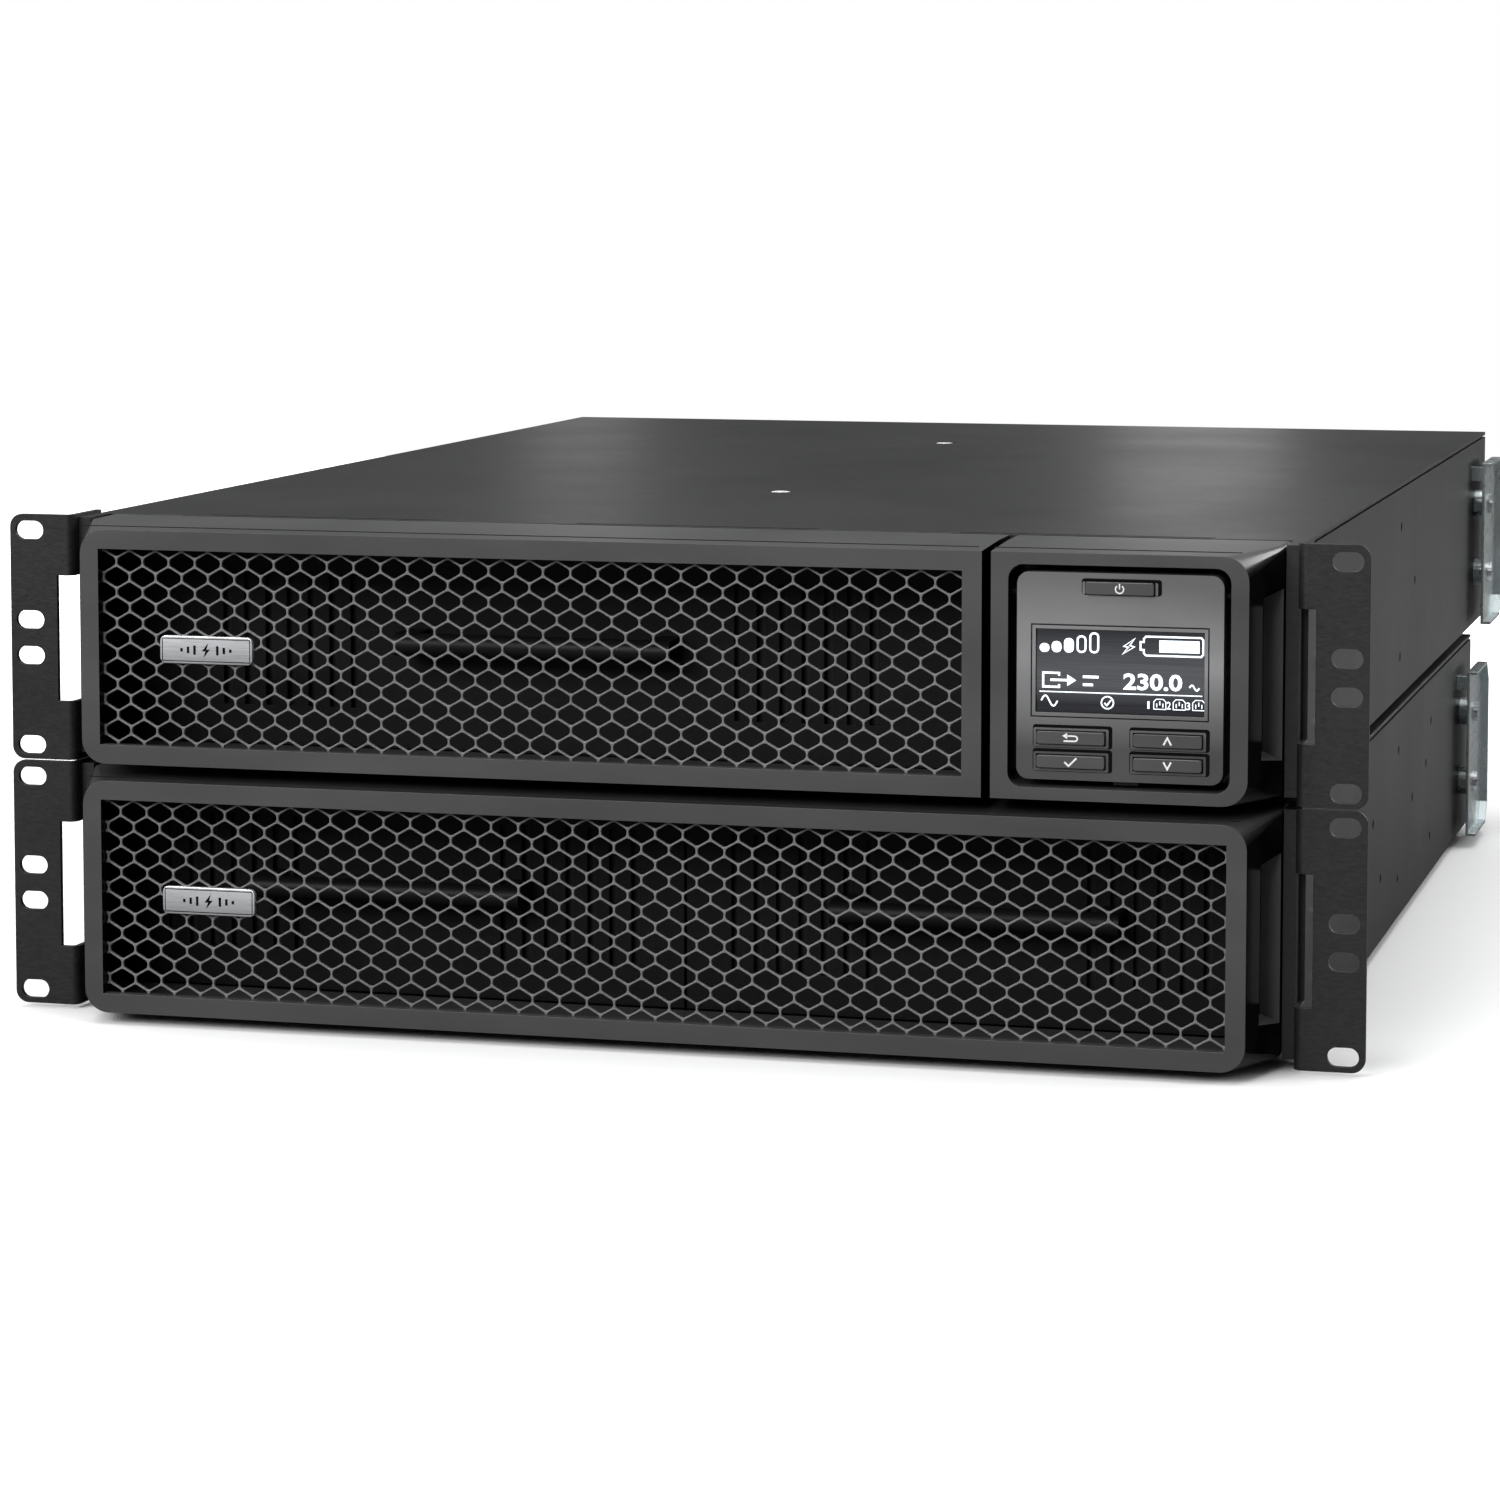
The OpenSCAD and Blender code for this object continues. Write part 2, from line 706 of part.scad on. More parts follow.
// Male inlet: an open well with three flat blades
module power_inlet() {
    color("#17181a") at_ups() {
        difference() {
            union() {
                push(ups_d, ups_d + 2.2) translate([inlet_x, inlet_z]) rounded(38, 32, 2);
                block([inlet_x - 17, inlet_x + 17], [ups_d - 24, ups_d], [inlet_z - 14, inlet_z + 14]);
            }
            push(ups_d - 20, ups_d + 5) translate([inlet_x, inlet_z]) square([30.5, 23.5], center = true);
        }
        for (s = [-8, 8]) block(inlet_x * [1, 1] + s * [1, 1] + [-4, 4], [ups_d - 20, ups_d - 3],
            inlet_z * [1, 1] + [-6, -4]);
        block(inlet_x * [1, 1] + [-4, 4], [ups_d - 20, ups_d - 2], inlet_z * [1, 1] + [5, 7]);
    }
}

module breaker_body() {
    color("#17181a") at_ups() difference() {
        union() {
            bar_y(breaker_x, breaker_z, 9, ups_d, ups_d + 3);
            bar_y(breaker_x, breaker_z, 6, ups_d - 4, ups_d);
            block([breaker_x - 8, breaker_x + 8], [ups_d - 32, ups_d - 4],
                [breaker_z - 14, breaker_z + 14]);
        }
        bar_y(breaker_x, breaker_z, 4, ups_d - 12, ups_d + 4);
    }
}

module breaker_button() {
    color("#e8e8e4") at_ups() bar_y(breaker_x, breaker_z, 3.95, ups_d - 10, ups_d + 4);
}

// Slide-in card: face plate, board and two thumb screws
module network_card() {
    x = [card_x - 33, card_x + 33];
    color("#9da1a4") at_ups() {
        difference() {
            block(x, [ups_d, ups_d + sheet], [card_z - 19, card_z + 19]);
            block(card_x * [1, 1] + [-8, 8], [ups_d - 2, ups_d + 3], card_z * [1, 1] + [-7, 7]);
        }
        block(x + [6, -6], [ups_d - 110, ups_d], [card_z - 9.6, card_z - 8]);
        difference() {
            block(card_x * [1, 1] + [-10, 10], [ups_d - 18, ups_d], card_z * [1, 1] + [-8, 9]);
            block(card_x * [1, 1] + [-6, 6], [ups_d - 14, ups_d + 1], card_z * [1, 1] + [-4, 4.5]);
        }
        for (s = [-26, 26]) bar_y(card_x + s, card_z, 4, ups_d + sheet, ups_d + rear_stub);
    }
}

// Block of signal sockets: two network jacks, a square data socket and a terminal strip
module comm_ports() {
    x = ports_x * [1, 1];
    z = ports_z * [1, 1];
    color("#2a2b2e") at_ups() difference() {
        block(x + [-24, 24], [ups_d - 18, ups_d + 1.5], z + [-14, 14]);
        for (s = [-15, 1]) block(x + s * [1, 1] + [-6, 6], [ups_d - 12, ups_d + 3], z + [1.5, 10.5]);
        block(x + [11, 20], [ups_d - 12, ups_d + 3], z + [2, 10]);
        for (s = [-18, -12, -6, 0]) block(x + s * [1, 1] + [-2, 2], [ups_d - 10, ups_d + 3], z + [-9, -4.6]);
        for (s = [8, 14, 20]) bar_y(ports_x + s, ports_z - 7, 1.6, ups_d - 6, ups_d + 3);
    }
}

// Two-pole battery connector shell with a contact blade in each well
module link_socket(x, z, d) {
    difference() {
        union() {
            push(d, d + 3) translate([x, z]) rounded(25, 30, 2);
            block([x - 10.5, x + 10.5], [d - 26, d], [z - 13, z + 13]);
        }
        for (s = [-1, 1]) block([x - 8, x + 8], [d - 20, d + 4], (z + s * 6.2) * [1, 1] + [-5, 5]);
    }
    for (s = [-1, 1]) block([x - 5, x + 5], [d - 20, d - 4], (z + s * 6.2) * [1, 1] + [-1, 1]);
}

module ups_rear_panel() {
    color("#303134") at_ups() difference() {
        rear_plate(ups_d);
        for (x = fan_x) {
            bar_y(x, rear_z, 33, ups_d - 3, ups_d + 1);
            for (s = [-1, 1], t = [-1, 1]) bar_y(x + s * 30.5, rear_z + t * 30.5, 2, ups_d - 3, ups_d + 1);
        }
        for (x = bank_x) block([x - 27, x + 27], [ups_d - 3, ups_d + 1], [rear_z - 29, rear_z + 29]);
        for (z = large_z) block([large_x - 16, large_x + 16], [ups_d - 3, ups_d + 1], [z - 13, z + 13]);
        block([inlet_x - 17, inlet_x + 17], [ups_d - 3, ups_d + 1], [inlet_z - 14, inlet_z + 14]);
        bar_y(breaker_x, breaker_z, 6, ups_d - 3, ups_d + 1);
        block([card_x - 30, card_x + 30], [ups_d - 3, ups_d + 1], [card_z - 16, card_z + 16]);
        block([ports_x - 24, ports_x + 24], [ups_d - 3, ups_d + 1], [ports_z - 14, ports_z + 14]);
        block([link_x - 10.5, link_x + 10.5], [ups_d - 3, ups_d + 1], [link_z - 13, link_z + 13]);
    }
}

module pack_rear_panel() {
    color("#303134") at_pack() difference() {
        rear_plate(pack_d);
        for (x = [-60, 0]) block([x - 10.5, x + 10.5], [pack_d - 3, pack_d + 1], [rear_z - 13, rear_z + 13]);
        block([toggle_x - 18, toggle_x + 18], [pack_d - 3, pack_d + 1], [rear_z - 24, rear_z + 24]);
        for (i = [0:13], s = [-190, 110]) block((s + i * 6) * [1, 1] + [0, 3],
            [pack_d - 3, pack_d + 1], [18, 64]);
    }
}

module pack_link_sockets() {
    color("#6f7376") at_pack() for (x = [-60, 0]) link_socket(x, rear_z, pack_d);
}

// Two-pole breaker with a slot for its lever
module pack_breaker() {
    x = toggle_x * [1, 1];
    color("#17181a") at_pack() difference() {
        union() {
            block(x + [-17, 17], [pack_d - 50, pack_d + 1], [rear_z - 23, rear_z + 23]);
            block(x + [-20, 20], [pack_d, pack_d + 2], [rear_z - 26, rear_z + 26]);
        }
        block(x + [-7, 7], [pack_d - 14, pack_d + 3], [rear_z - 12, rear_z + 12]);
        bar_x(pack_d - 6, rear_z, 1.5, toggle_x - 12, toggle_x + 12);
    }
}

module pack_breaker_lever() {
    color("#d8d8d4") at_pack() {
        bar_x(pack_d - 6, rear_z, 1.45, toggle_x - 11.5, toggle_x + 11.5);
        bar_x(pack_d - 6, rear_z, 5, toggle_x - 6.5, toggle_x + 6.5);
        translate([0, pack_d - 6, rear_z]) rotate([20, 0, 0])
            block([toggle_x - 6.5, toggle_x + 6.5], [0, 12], [-2, 2]);
    }
}

// ---------- fasteners and feet ----------

// Pan-head screw seen from +Z, head resting on z = 0
module screw(head, shank, long) {
    difference() {
        cylinder(r = head, h = 2);
        for (a = [0, 90]) rotate([0, 0, a]) translate([0, 0, 1.6]) cube([head * 1.1, 0.8, 2], center = true);
    }
    translate([0, 0, -long]) cylinder(r = shank, h = long);
}

module case_screws(d) {
    both_sides() {
        for (z = tab_z) translate([side_x + ear_t, 46, z]) rotate([0, 90, 0]) screw(3.8, 2, ear_t);
        for (z = bracket_z) translate([side_x + 6, d - 41, z]) rotate([0, 90, 0]) screw(4.2, 2, 5.8);
    }
    for (x = plate_screw_x, z = plate_screw_z) translate([x, d, z]) rotate([-90, 0, 0])
        screw(2.6, 1.5, sheet);
}

module screws() {
    color("#8f9396") {
        at_ups() {
            case_screws(ups_d);
            for (y = [183.6, 469]) translate([-6.6, y, case_h - 2]) {
                difference() {
                    cylinder(r1 = 2.9, r2 = 5, h = 1.5);
                    for (a = [0, 90]) rotate([0, 0, a]) translate([0, 0, 1.5])
                        cube([5, 0.9, 1.6], center = true);
                }
            }
        }
        at_pack() case_screws(pack_d);
    }
}

module foot(x, y) { translate([x, y, -foot_h]) cylinder(r = 11, h = foot_h); }

module feet() {
    color("#141416") {
        at_ups() for (x = [-180, 180], y = [60, pack_d - 40]) foot(x, y);
        at_pack() for (x = [-180, 180], y = [60, pack_d - 40]) foot(x, y);
    }
}

// ---------- the nodes ----------

ups_spots = concat([for (z = rail_hole_z) [rail_hole_y, z]], [[333.4, 41.1]]);
pack_spots = concat(ups_spots, [[207.8, 48.5], [232.1, 24.2], [381.3, 48.4], [397.8, 15.8],
    [397.8, 63.9]]);

module ups_chassis() { color("#303134") at_ups() chassis(ups_d, ups_spots); }

module ups_cover() { color("#333437") at_ups() cover(ups_d, [183.6, 469]); }

module grille_frame() { color("#3a3b3d") at_ups() window_frame([-999, split_l], ups_open); }

module grille_mesh() { color("#6a6b6d") at_ups() mesh_sheet(ups_open); }

module ups_badge() { color("silver") at_ups() badge(); }

module ups_ears() { color("#2b2c2e") at_ups() ears(); }

module ups_brackets() { color("#c3cdd0") at_ups() both_sides() rear_bracket(ups_d); }

module fan_frame_left() { color("#1b1c1e") at_ups() fan_frame(fan_x[0]); }

module fan_frame_right() { color("#1b1c1e") at_ups() fan_frame(fan_x[1]); }

module fan_rotor_left() { color("#232427") at_ups() fan_rotor(fan_x[0]); }

module fan_rotor_right() { color("#232427") at_ups() fan_rotor(fan_x[1]); }

module outlet_bank_left() { color("#17181a") at_ups() outlet_bank(bank_x[0]); }

module outlet_bank_right() { color("#17181a") at_ups() outlet_bank(bank_x[1]); }

module ups_link_socket() { color("#6f7376") at_ups() link_socket(link_x, link_z, ups_d); }

module pack_chassis() { color("#303134") at_pack() chassis(pack_d, pack_spots); }

module pack_cover() { color("#333437") at_pack() cover(pack_d, []); }

module pack_frame() { color("#3a3b3d") at_pack() window_frame([-999, 999], pack_open); }

module pack_mesh() { color("#6a6b6d") at_pack() mesh_sheet(pack_open); }

module pack_badge() { color("silver") at_pack() badge(); }

module pack_ears() { color("#2b2c2e") at_pack() ears(); }

module pack_brackets() { color("#c3cdd0") at_pack() both_sides() rear_bracket(pack_d); }

module pack_tray_left() { color("#3b3c3f") at_pack() mirror([1, 0, 0]) tray(pack_tray_x); }

module pack_tray_right() { color("#3b3c3f") at_pack() tray(pack_tray_x); }

module pack_handle_left() { color("#202124") at_pack() pull_handle(-105.5); }

module pack_handle_right() { color("#202124") at_pack() pull_handle(105.5); }

module pack_blocks_left() { color("#2c2d30") at_pack() mirror([1, 0, 0]) blocks(4.6, 2, 4, 101, 90, 68); }

module pack_blocks_right() { color("#2c2d30") at_pack() blocks(4.6, 2, 4, 101, 90, 68); }

ups_chassis();
ups_cover();
ups_rear_panel();
battery_bay_wall();
grille_frame();
grille_mesh();
ups_badge();
display_bezel();
display_shell();
display_lens();
display_board();
display_pins();
display_release();
power_button();
escape_button();
enter_button();
up_button();
down_button();
ups_ears();
ups_brackets();
battery_tray();
battery_handle();
battery_blocks();
power_board();
heat_sinks();
capacitors();
inductors();
fan_frame_left();
fan_frame_right();
fan_rotor_left();
fan_rotor_right();
fan_guards();
outlet_bank_left();
outlet_bank_right();
large_outlets();
power_inlet();
breaker_body();
breaker_button();
network_card();
comm_ports();
ups_link_socket();
pack_chassis();
pack_cover();
pack_rear_panel();
pack_frame();
pack_mesh();
pack_badge();
pack_ears();
pack_brackets();
pack_tray_left();
pack_tray_right();
pack_handle_left();
pack_handle_right();
pack_blocks_left();
pack_blocks_right();
pack_breaker();
pack_breaker_lever();
pack_link_sockets();
screws();
feet();
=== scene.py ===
"""Looks for a rack-mount UPS standing on its battery pack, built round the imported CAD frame."""
import json
import math

import bmesh
import bpy
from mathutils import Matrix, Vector


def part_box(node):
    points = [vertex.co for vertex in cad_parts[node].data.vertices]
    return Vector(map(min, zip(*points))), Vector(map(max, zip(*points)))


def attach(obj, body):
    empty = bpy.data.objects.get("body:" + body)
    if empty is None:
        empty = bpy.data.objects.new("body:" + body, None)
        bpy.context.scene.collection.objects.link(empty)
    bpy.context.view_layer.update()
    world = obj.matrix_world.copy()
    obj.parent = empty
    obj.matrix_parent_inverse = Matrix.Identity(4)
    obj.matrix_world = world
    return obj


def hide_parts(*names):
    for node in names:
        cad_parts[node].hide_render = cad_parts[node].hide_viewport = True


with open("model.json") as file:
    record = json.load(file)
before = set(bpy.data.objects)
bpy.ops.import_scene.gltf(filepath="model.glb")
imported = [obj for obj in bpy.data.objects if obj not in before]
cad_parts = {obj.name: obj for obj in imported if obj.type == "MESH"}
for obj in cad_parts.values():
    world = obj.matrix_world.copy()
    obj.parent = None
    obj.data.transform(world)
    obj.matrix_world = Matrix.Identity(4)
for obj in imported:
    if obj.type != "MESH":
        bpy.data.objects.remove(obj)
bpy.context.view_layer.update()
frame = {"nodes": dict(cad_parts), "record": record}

MM = 0.001
RECORD = frame["record"]
KEYS = ("power_button", "escape_button", "enter_button", "up_button", "down_button")
OWN_LOOK = {"display_shell": "panel_face", **{key: "key_plastic" for key in KEYS}}
SLOT_OF = {s["node"]: s["material_slot"] for s in RECORD["subparts"]}
BODY_OF = {n: b for b, nodes in RECORD["behaviour"]["bodies"].items() for n in nodes}
MATERIALS = {}


# ---------- node helpers ----------

def set_inputs(node, **values):
    """Give a node's sockets their values; an underscore stands for a space."""
    for name, value in values.items():
        node.inputs[name.replace("_", " ")].default_value = value


class Tree:
    """The node tree of a material or a world, with short calls for the nodes used here."""

    def __init__(self, holder, empty=False):
        holder.use_nodes = True
        self.holder = holder
        self.nodes = holder.node_tree.nodes
        if empty:
            self.nodes.clear()
        self.shader = self.nodes.get("Principled BSDF")
        self.coordinates = self.new("TexCoord").outputs
        self.place = self.coordinates["Object"]

    def new(self, kind):
        return self.nodes.new("ShaderNode" + kind)

    def link(self, source, target):
        self.holder.node_tree.links.new(source, target)

    def stretch(self, x, y, z):
        """The object's coordinates with each axis scaled."""
        node = self.new("Mapping")
        set_inputs(node, Scale=(x, y, z))
        self.link(self.place, node.inputs["Vector"])
        return node.outputs["Vector"]

    def axis(self, output, letter):
        """One axis of a texture coordinate, such as Generated Z."""
        node = self.new("SeparateXYZ")
        self.link(self.coordinates[output], node.inputs[0])
        return node.outputs[letter]

    def noise(self, scale, detail=3.0, rough=0.5, place=None):
        node = self.new("TexNoise")
        set_inputs(node, Scale=scale, Detail=detail, Roughness=rough)
        self.link(place or self.place, node.inputs["Vector"])
        return node.outputs["Fac"]

    def cells(self, scale, output="Distance"):
        node = self.new("TexVoronoi")
        set_inputs(node, Scale=scale)
        self.link(self.place, node.inputs["Vector"])
        return node.outputs[output]

    def levels(self, value, low, high, to_low, to_high):
        """Stretch the range from low to high over another range."""
        node = self.new("MapRange")
        set_inputs(node, From_Min=low, From_Max=high, To_Min=to_low, To_Max=to_high)
        self.link(value, node.inputs["Value"])
        return node.outputs["Result"]

    def blend(self, fac, a, b):
        """A colour between two constants."""
        node = self.new("Mix")
        node.data_type = "RGBA"
        set_inputs(node, A=(*a, 1), B=(*b, 1))
        self.link(fac, node.inputs["Factor"])
        return node.outputs["Result"]

    def math(self, kind, a, b=0.0):
        node = self.new("Math")
        node.operation = kind
        for socket, value in zip(node.inputs, (a, b)):
            if isinstance(value, (int, float)):
                socket.default_value = value
            else:
                self.link(value, socket)
        return node.outputs["Value"]

    def bump(self, height, strength, distance):
        node = self.new("Bump")
        set_inputs(node, Strength=strength, Distance=distance)
        self.link(height, node.inputs["Height"])
        return node.outputs["Normal"]

    def set(self, **values):
        set_inputs(self.shader, **values)

    def wire(self, socket, value):
        self.link(value, self.shader.inputs[socket])

    def source(self, socket):
        """What already feeds a socket of the shader."""
        return self.shader.inputs[socket].links[0].from_socket

    def fade(self, socket, kind, fac, value, mode="MIX"):
        """Mix what already feeds a socket with a constant."""
        node = self.new("Mix")
        node.data_type, node.blend_type = kind, mode
        self.link(self.source(socket), node.inputs["A"])
        set_inputs(node, B=value)
        self.link(fac, node.inputs["Factor"])
        self.wire(socket, node.outputs["Result"])

    def scale(self, socket, factor):
        """Multiply the colour that already feeds a socket."""
        node = self.new("VectorMath")
        node.operation = "SCALE"
        self.link(self.source(socket), node.inputs[0])
        self.link(factor, node.inputs["Scale"])
        self.wire(socket, node.outputs[0])


def tone(color, factor):
    return tuple(min(1.0, c * factor) for c in color)


# ---------- materials ----------

def material_tree(name):
    return Tree(bpy.data.materials.new(name))


def coated_metal(name, color, rough=0.42, grain=1100, depth=0.14, specular=0.5):
    """Powder coat: fine orange-peel grain, slow shifts of tone and gloss."""
    t = material_tree(name)
    slow = t.noise(9, 4, 0.6)
    fine = t.noise(grain, 2, 0.55, t.stretch(0.4, 1, 1))
    tint = t.math("ADD", t.math("MULTIPLY", slow, 0.4), t.math("MULTIPLY", fine, 0.6))
    gloss = t.math("ADD", t.math("MULTIPLY", slow, 0.6), t.math("MULTIPLY", fine, 0.4))
    t.wire("Base Color", t.blend(t.levels(tint, 0.35, 0.65, 0, 1), tone(color, 0.72), tone(color, 1.3)))
    t.wire("Roughness", t.levels(gloss, 0.3, 0.7, rough - 0.05, rough + 0.07))
    t.wire("Normal", t.bump(fine, 0.35, depth * MM))
    t.set(Specular_IOR_Level=specular)
    return t


def moulding(name, color, rough=0.36, grain=2600, depth=0.03, specular=0.5):
    """Satin plastic: tiny spark-eroded pits and faint flow marks."""
    t = material_tree(name)
    flow = t.noise(14, 3, 0.55, t.stretch(1, 1, 2.5))
    t.wire("Base Color", t.blend(t.levels(flow, 0.3, 0.7, 0, 1), tone(color, 0.9), tone(color, 1.12)))
    t.wire("Roughness", t.levels(flow, 0.3, 0.7, rough - 0.03, rough + 0.05))
    t.wire("Normal", t.bump(t.cells(grain), 0.25, depth * MM))
    t.set(Specular_IOR_Level=specular)
    return t


def panel_face(name, color):
    """The display's front with a painted sheen: lightest beside the screen, darker towards its top and
    bottom.
    """
    t = moulding(name, color, 0.3)
    height = t.axis("Generated", "Z")
    from_below = t.levels(height, 0.15, 0.55, 0.4, 1.7)
    to_top = t.levels(height, 0.58, 0.95, 1, 0.53)
    # painted sheen: the colour is raised at mid-height and lowered towards both ends
    t.scale("Base Color", t.math("MULTIPLY", from_below, to_top))
    return t


def bezel_moulding(name, color):
    """Satin front and top; the side walls get a near-black colour and a weak reflection as painted shade,
    and a glossier finish.
    """
    t = moulding(name, color)
    side = t.levels(t.math("ABSOLUTE", t.axis("Normal", "X")), 0.6, 0.95, 0, 1)
    # painted shade on the side walls: near-black colour and less reflection
    t.fade("Base Color", "RGBA", side, (0.0015, 0.0015, 0.0015, 1))
    t.fade("Roughness", "FLOAT", side, 0.15)
    t.wire("Specular IOR Level", t.levels(side, 0, 1, 0.5, 0.08))
    return t


def brushed_metal(name, color, rough=0.3, along=(40, 900, 900), depth=0.02, metallic=1.0):
    """Bare or plated metal with fine lines along one axis."""
    t = material_tree(name)
    lines = t.noise(1, 4, 0.6, t.stretch(*along))
    slow = t.noise(22, 3, 0.5)
    t.wire("Base Color", t.blend(t.levels(slow, 0.3, 0.7, 0, 1), tone(color, 0.88), tone(color, 1.1)))
    t.wire("Roughness", t.levels(lines, 0.3, 0.7, rough - 0.07, rough + 0.1))
    t.wire("Normal", t.bump(lines, 0.25, depth * MM))
    t.set(Metallic=metallic)
    return t


def badge_metal(name, color):
    """Satin silver plate with a painted reflection, brightest along its upper edge and darker towards its
    bottom, with fine lines across it.
    """
    t = brushed_metal(name, color, 0.3, (60, 60, 2600), 0.01, 0.75)
    # painted reflection: the plate darkens from its upper edge downwards
    shade = t.levels(t.axis("Generated", "Z"), 0.1, 0.9, 0.62, 0.0)
    t.fade("Base Color", "RGBA", shade, (0.3, 0.3, 0.31, 1), "MULTIPLY")
    return t


def zinc_plate(name, color):
    """Bright bluish zinc with soft spangles and a faint yellow cast in places."""
    t = material_tree(name)
    yellowed = tone((color[0] * 1.08, color[1], color[2] * 0.93), 0.92)
    slow = t.noise(30, 4, 0.6)
    grey = t.new("RGBToBW")
    t.link(t.cells(260, "Color"), grey.inputs[0])
    t.wire("Base Color", t.blend(t.levels(slow, 0.35, 0.7, 0, 1), color, yellowed))
    t.wire("Roughness", t.levels(grey.outputs[0], 0, 1, 0.24, 0.38))
    t.wire("Normal", t.bump(t.noise(500, 3), 0.12, 0.02 * MM))
    t.set(Metallic=0.92)
    return t


def screen_glass(name, color):
    """Glossy window over a screen, with a faint glow of painted sheen, brightest in the middle, dark at its
    top and its bottom row.
    """
    t = material_tree(name)
    rows = t.noise(1, 0, 0.5, t.stretch(40, 40, 5200))
    height = t.axis("Generated", "Z")
    # painted sheen: the glow is strongest across the middle of the window
    glow = t.math("MULTIPLY", t.levels(height, 0.1, 0.32, 0.12, 1), t.levels(height, 0.55, 1.0, 1, 0.15))
    t.wire("Base Color", t.blend(t.levels(rows, 0.35, 0.65, 0, 1), color, tone(color, 1.7)))
    t.wire("Emission Strength", t.math("MULTIPLY", glow, t.levels(rows, 0.3, 0.7, 0.9, 1.1)))
    t.wire("Roughness", t.levels(t.noise(60), 0.3, 0.7, 0.08, 0.14))
    t.set(Emission_Color=(0.075, 0.077, 0.08, 1), Specular_IOR_Level=0.35)
    return t


def circuit_board(name, color):
    """Green solder mask with darker copper areas under it."""
    t = material_tree(name)
    tracks = t.cells(160)
    t.wire("Base Color", t.blend(t.levels(tracks, 0.3, 0.42, 0, 1), tone(color, 0.7), tone(color, 1.25)))
    t.wire("Roughness", t.levels(t.noise(90), 0.3, 0.7, 0.28, 0.4))
    t.wire("Normal", t.bump(tracks, 0.2, 0.04 * MM))
    return t


def wound_copper(name, color):
    """Enamelled turns side by side."""
    t = material_tree(name)
    turns = t.new("TexWave")
    set_inputs(turns, Scale=260, Distortion=0.4)
    t.link(t.place, turns.inputs["Vector"])
    t.wire("Base Color", t.blend(turns.outputs["Fac"], tone(color, 0.6), tone(color, 1.2)))
    t.wire("Normal", t.bump(turns.outputs["Fac"], 0.6, 0.4 * MM))
    t.wire("Roughness", t.levels(t.noise(80), 0.3, 0.7, 0.28, 0.4))
    t.set(Metallic=0.85)
    return t


def lit_ink(name, color, strength):
    """Light of a screen symbol, slightly uneven as on a dot display."""
    t = material_tree(name)
    dots = t.cells(2600)
    t.wire("Base Color", t.blend(dots, color, tone(color, 0.9)))
    t.wire("Emission Color", t.blend(dots, color, tone(color, 0.85)))
    t.set(Emission_Strength=strength, Roughness=0.4)
    return t


def printed_ink(name, color, specular=0.3):
    """Flat ink, as printed on a key, or painted shade at the dark bottom of a groove, slit or gap."""
    t = material_tree(name)
    fine = t.noise(1800, 2)
    t.wire("Base Color", t.blend(t.levels(fine, 0.3, 0.7, 0, 1), tone(color, 0.88), color))
    t.wire("Roughness", t.levels(fine, 0.3, 0.7, 0.4, 0.55))
    t.set(Specular_IOR_Level=specular)
    return t


def make_materials():
    """One material for each slot of the record, and a few for pieces that look different."""
    colors = {m["slot"]: tuple(m["base_color"][:3]) for m in RECORD["materials"]}
    makers = {
        "case_paint": lambda n, c: coated_metal(n, c, 0.38, specular=0.4),
        "bezel_plastic": bezel_moulding,
        "mesh_paint": lambda n, c: coated_metal(n, tone(c, 0.9), 0.4, 2200, 0.03, 0.4),
        "badge_silver": badge_metal,
        "panel_plastic": lambda n, c: moulding(n, c, 0.3),
        "release_plastic": lambda n, c: moulding(n, c, 0.4),
        "screen_glass": screen_glass,
        "circuit_board": circuit_board,
        "bright_steel": lambda n, c: brushed_metal(n, c, 0.28),
        "zinc_steel": zinc_plate,
        "tray_steel": lambda n, c: coated_metal(n, tone(c, 1.3), 0.5, specular=0.14),
        "handle_plastic": lambda n, c: moulding(n, tone(c, 1.6), 0.45, specular=0.16),
        "battery_case": lambda n, c: moulding(n, tone(c, 1.6), 0.45, specular=0.2),
        "heat_sink_alloy": lambda n, c: brushed_metal(n, c, 0.35, (900, 40, 900)),
        "capacitor_can": lambda n, c: moulding(n, c, 0.25),
        "copper_winding": wound_copper,
        "fan_plastic": lambda n, c: moulding(n, c, 0.42),
        "socket_plastic": lambda n, c: moulding(n, c, 0.28),
        "link_plastic": lambda n, c: moulding(n, c, 0.42),
        "breaker_white": lambda n, c: moulding(n, c, 0.25),
        "card_steel": lambda n, c: brushed_metal(n, c, 0.34, (900, 40, 40)),
        "foot_rubber": lambda n, c: moulding(n, c, 0.75, 900, 0.08, 0.3),
    }
    looks = {slot: (make, colors[slot]) for slot, make in makers.items()}
    looks.update({
        # the display's front, with a painted sheen beside the screen
        "panel_face": (panel_face, colors["panel_plastic"]),
        "key_plastic": (lambda n, c: moulding(n, tone(c, 0.42), 0.3), colors["panel_plastic"]),
        "screen_light": (lambda n, c: lit_ink(n, c, 1.1), (0.82, 0.9, 1.0)),
        "key_ink": (printed_ink, (0.88, 0.89, 0.9)),
        "stud_steel": (lambda n, c: brushed_metal(n, c, metallic=0.25), (0.9, 0.9, 0.92)),
        # dark ink for print and joints, also used as painted shade in grooves, slits and key gaps
        "dark_line": (lambda n, c: printed_ink(n, c, 0.05), (0.003, 0.003, 0.003)),
    })
    for name, (make, color) in looks.items():
        MATERIALS[name] = make(name, color).holder


# ---------- mesh helpers ----------

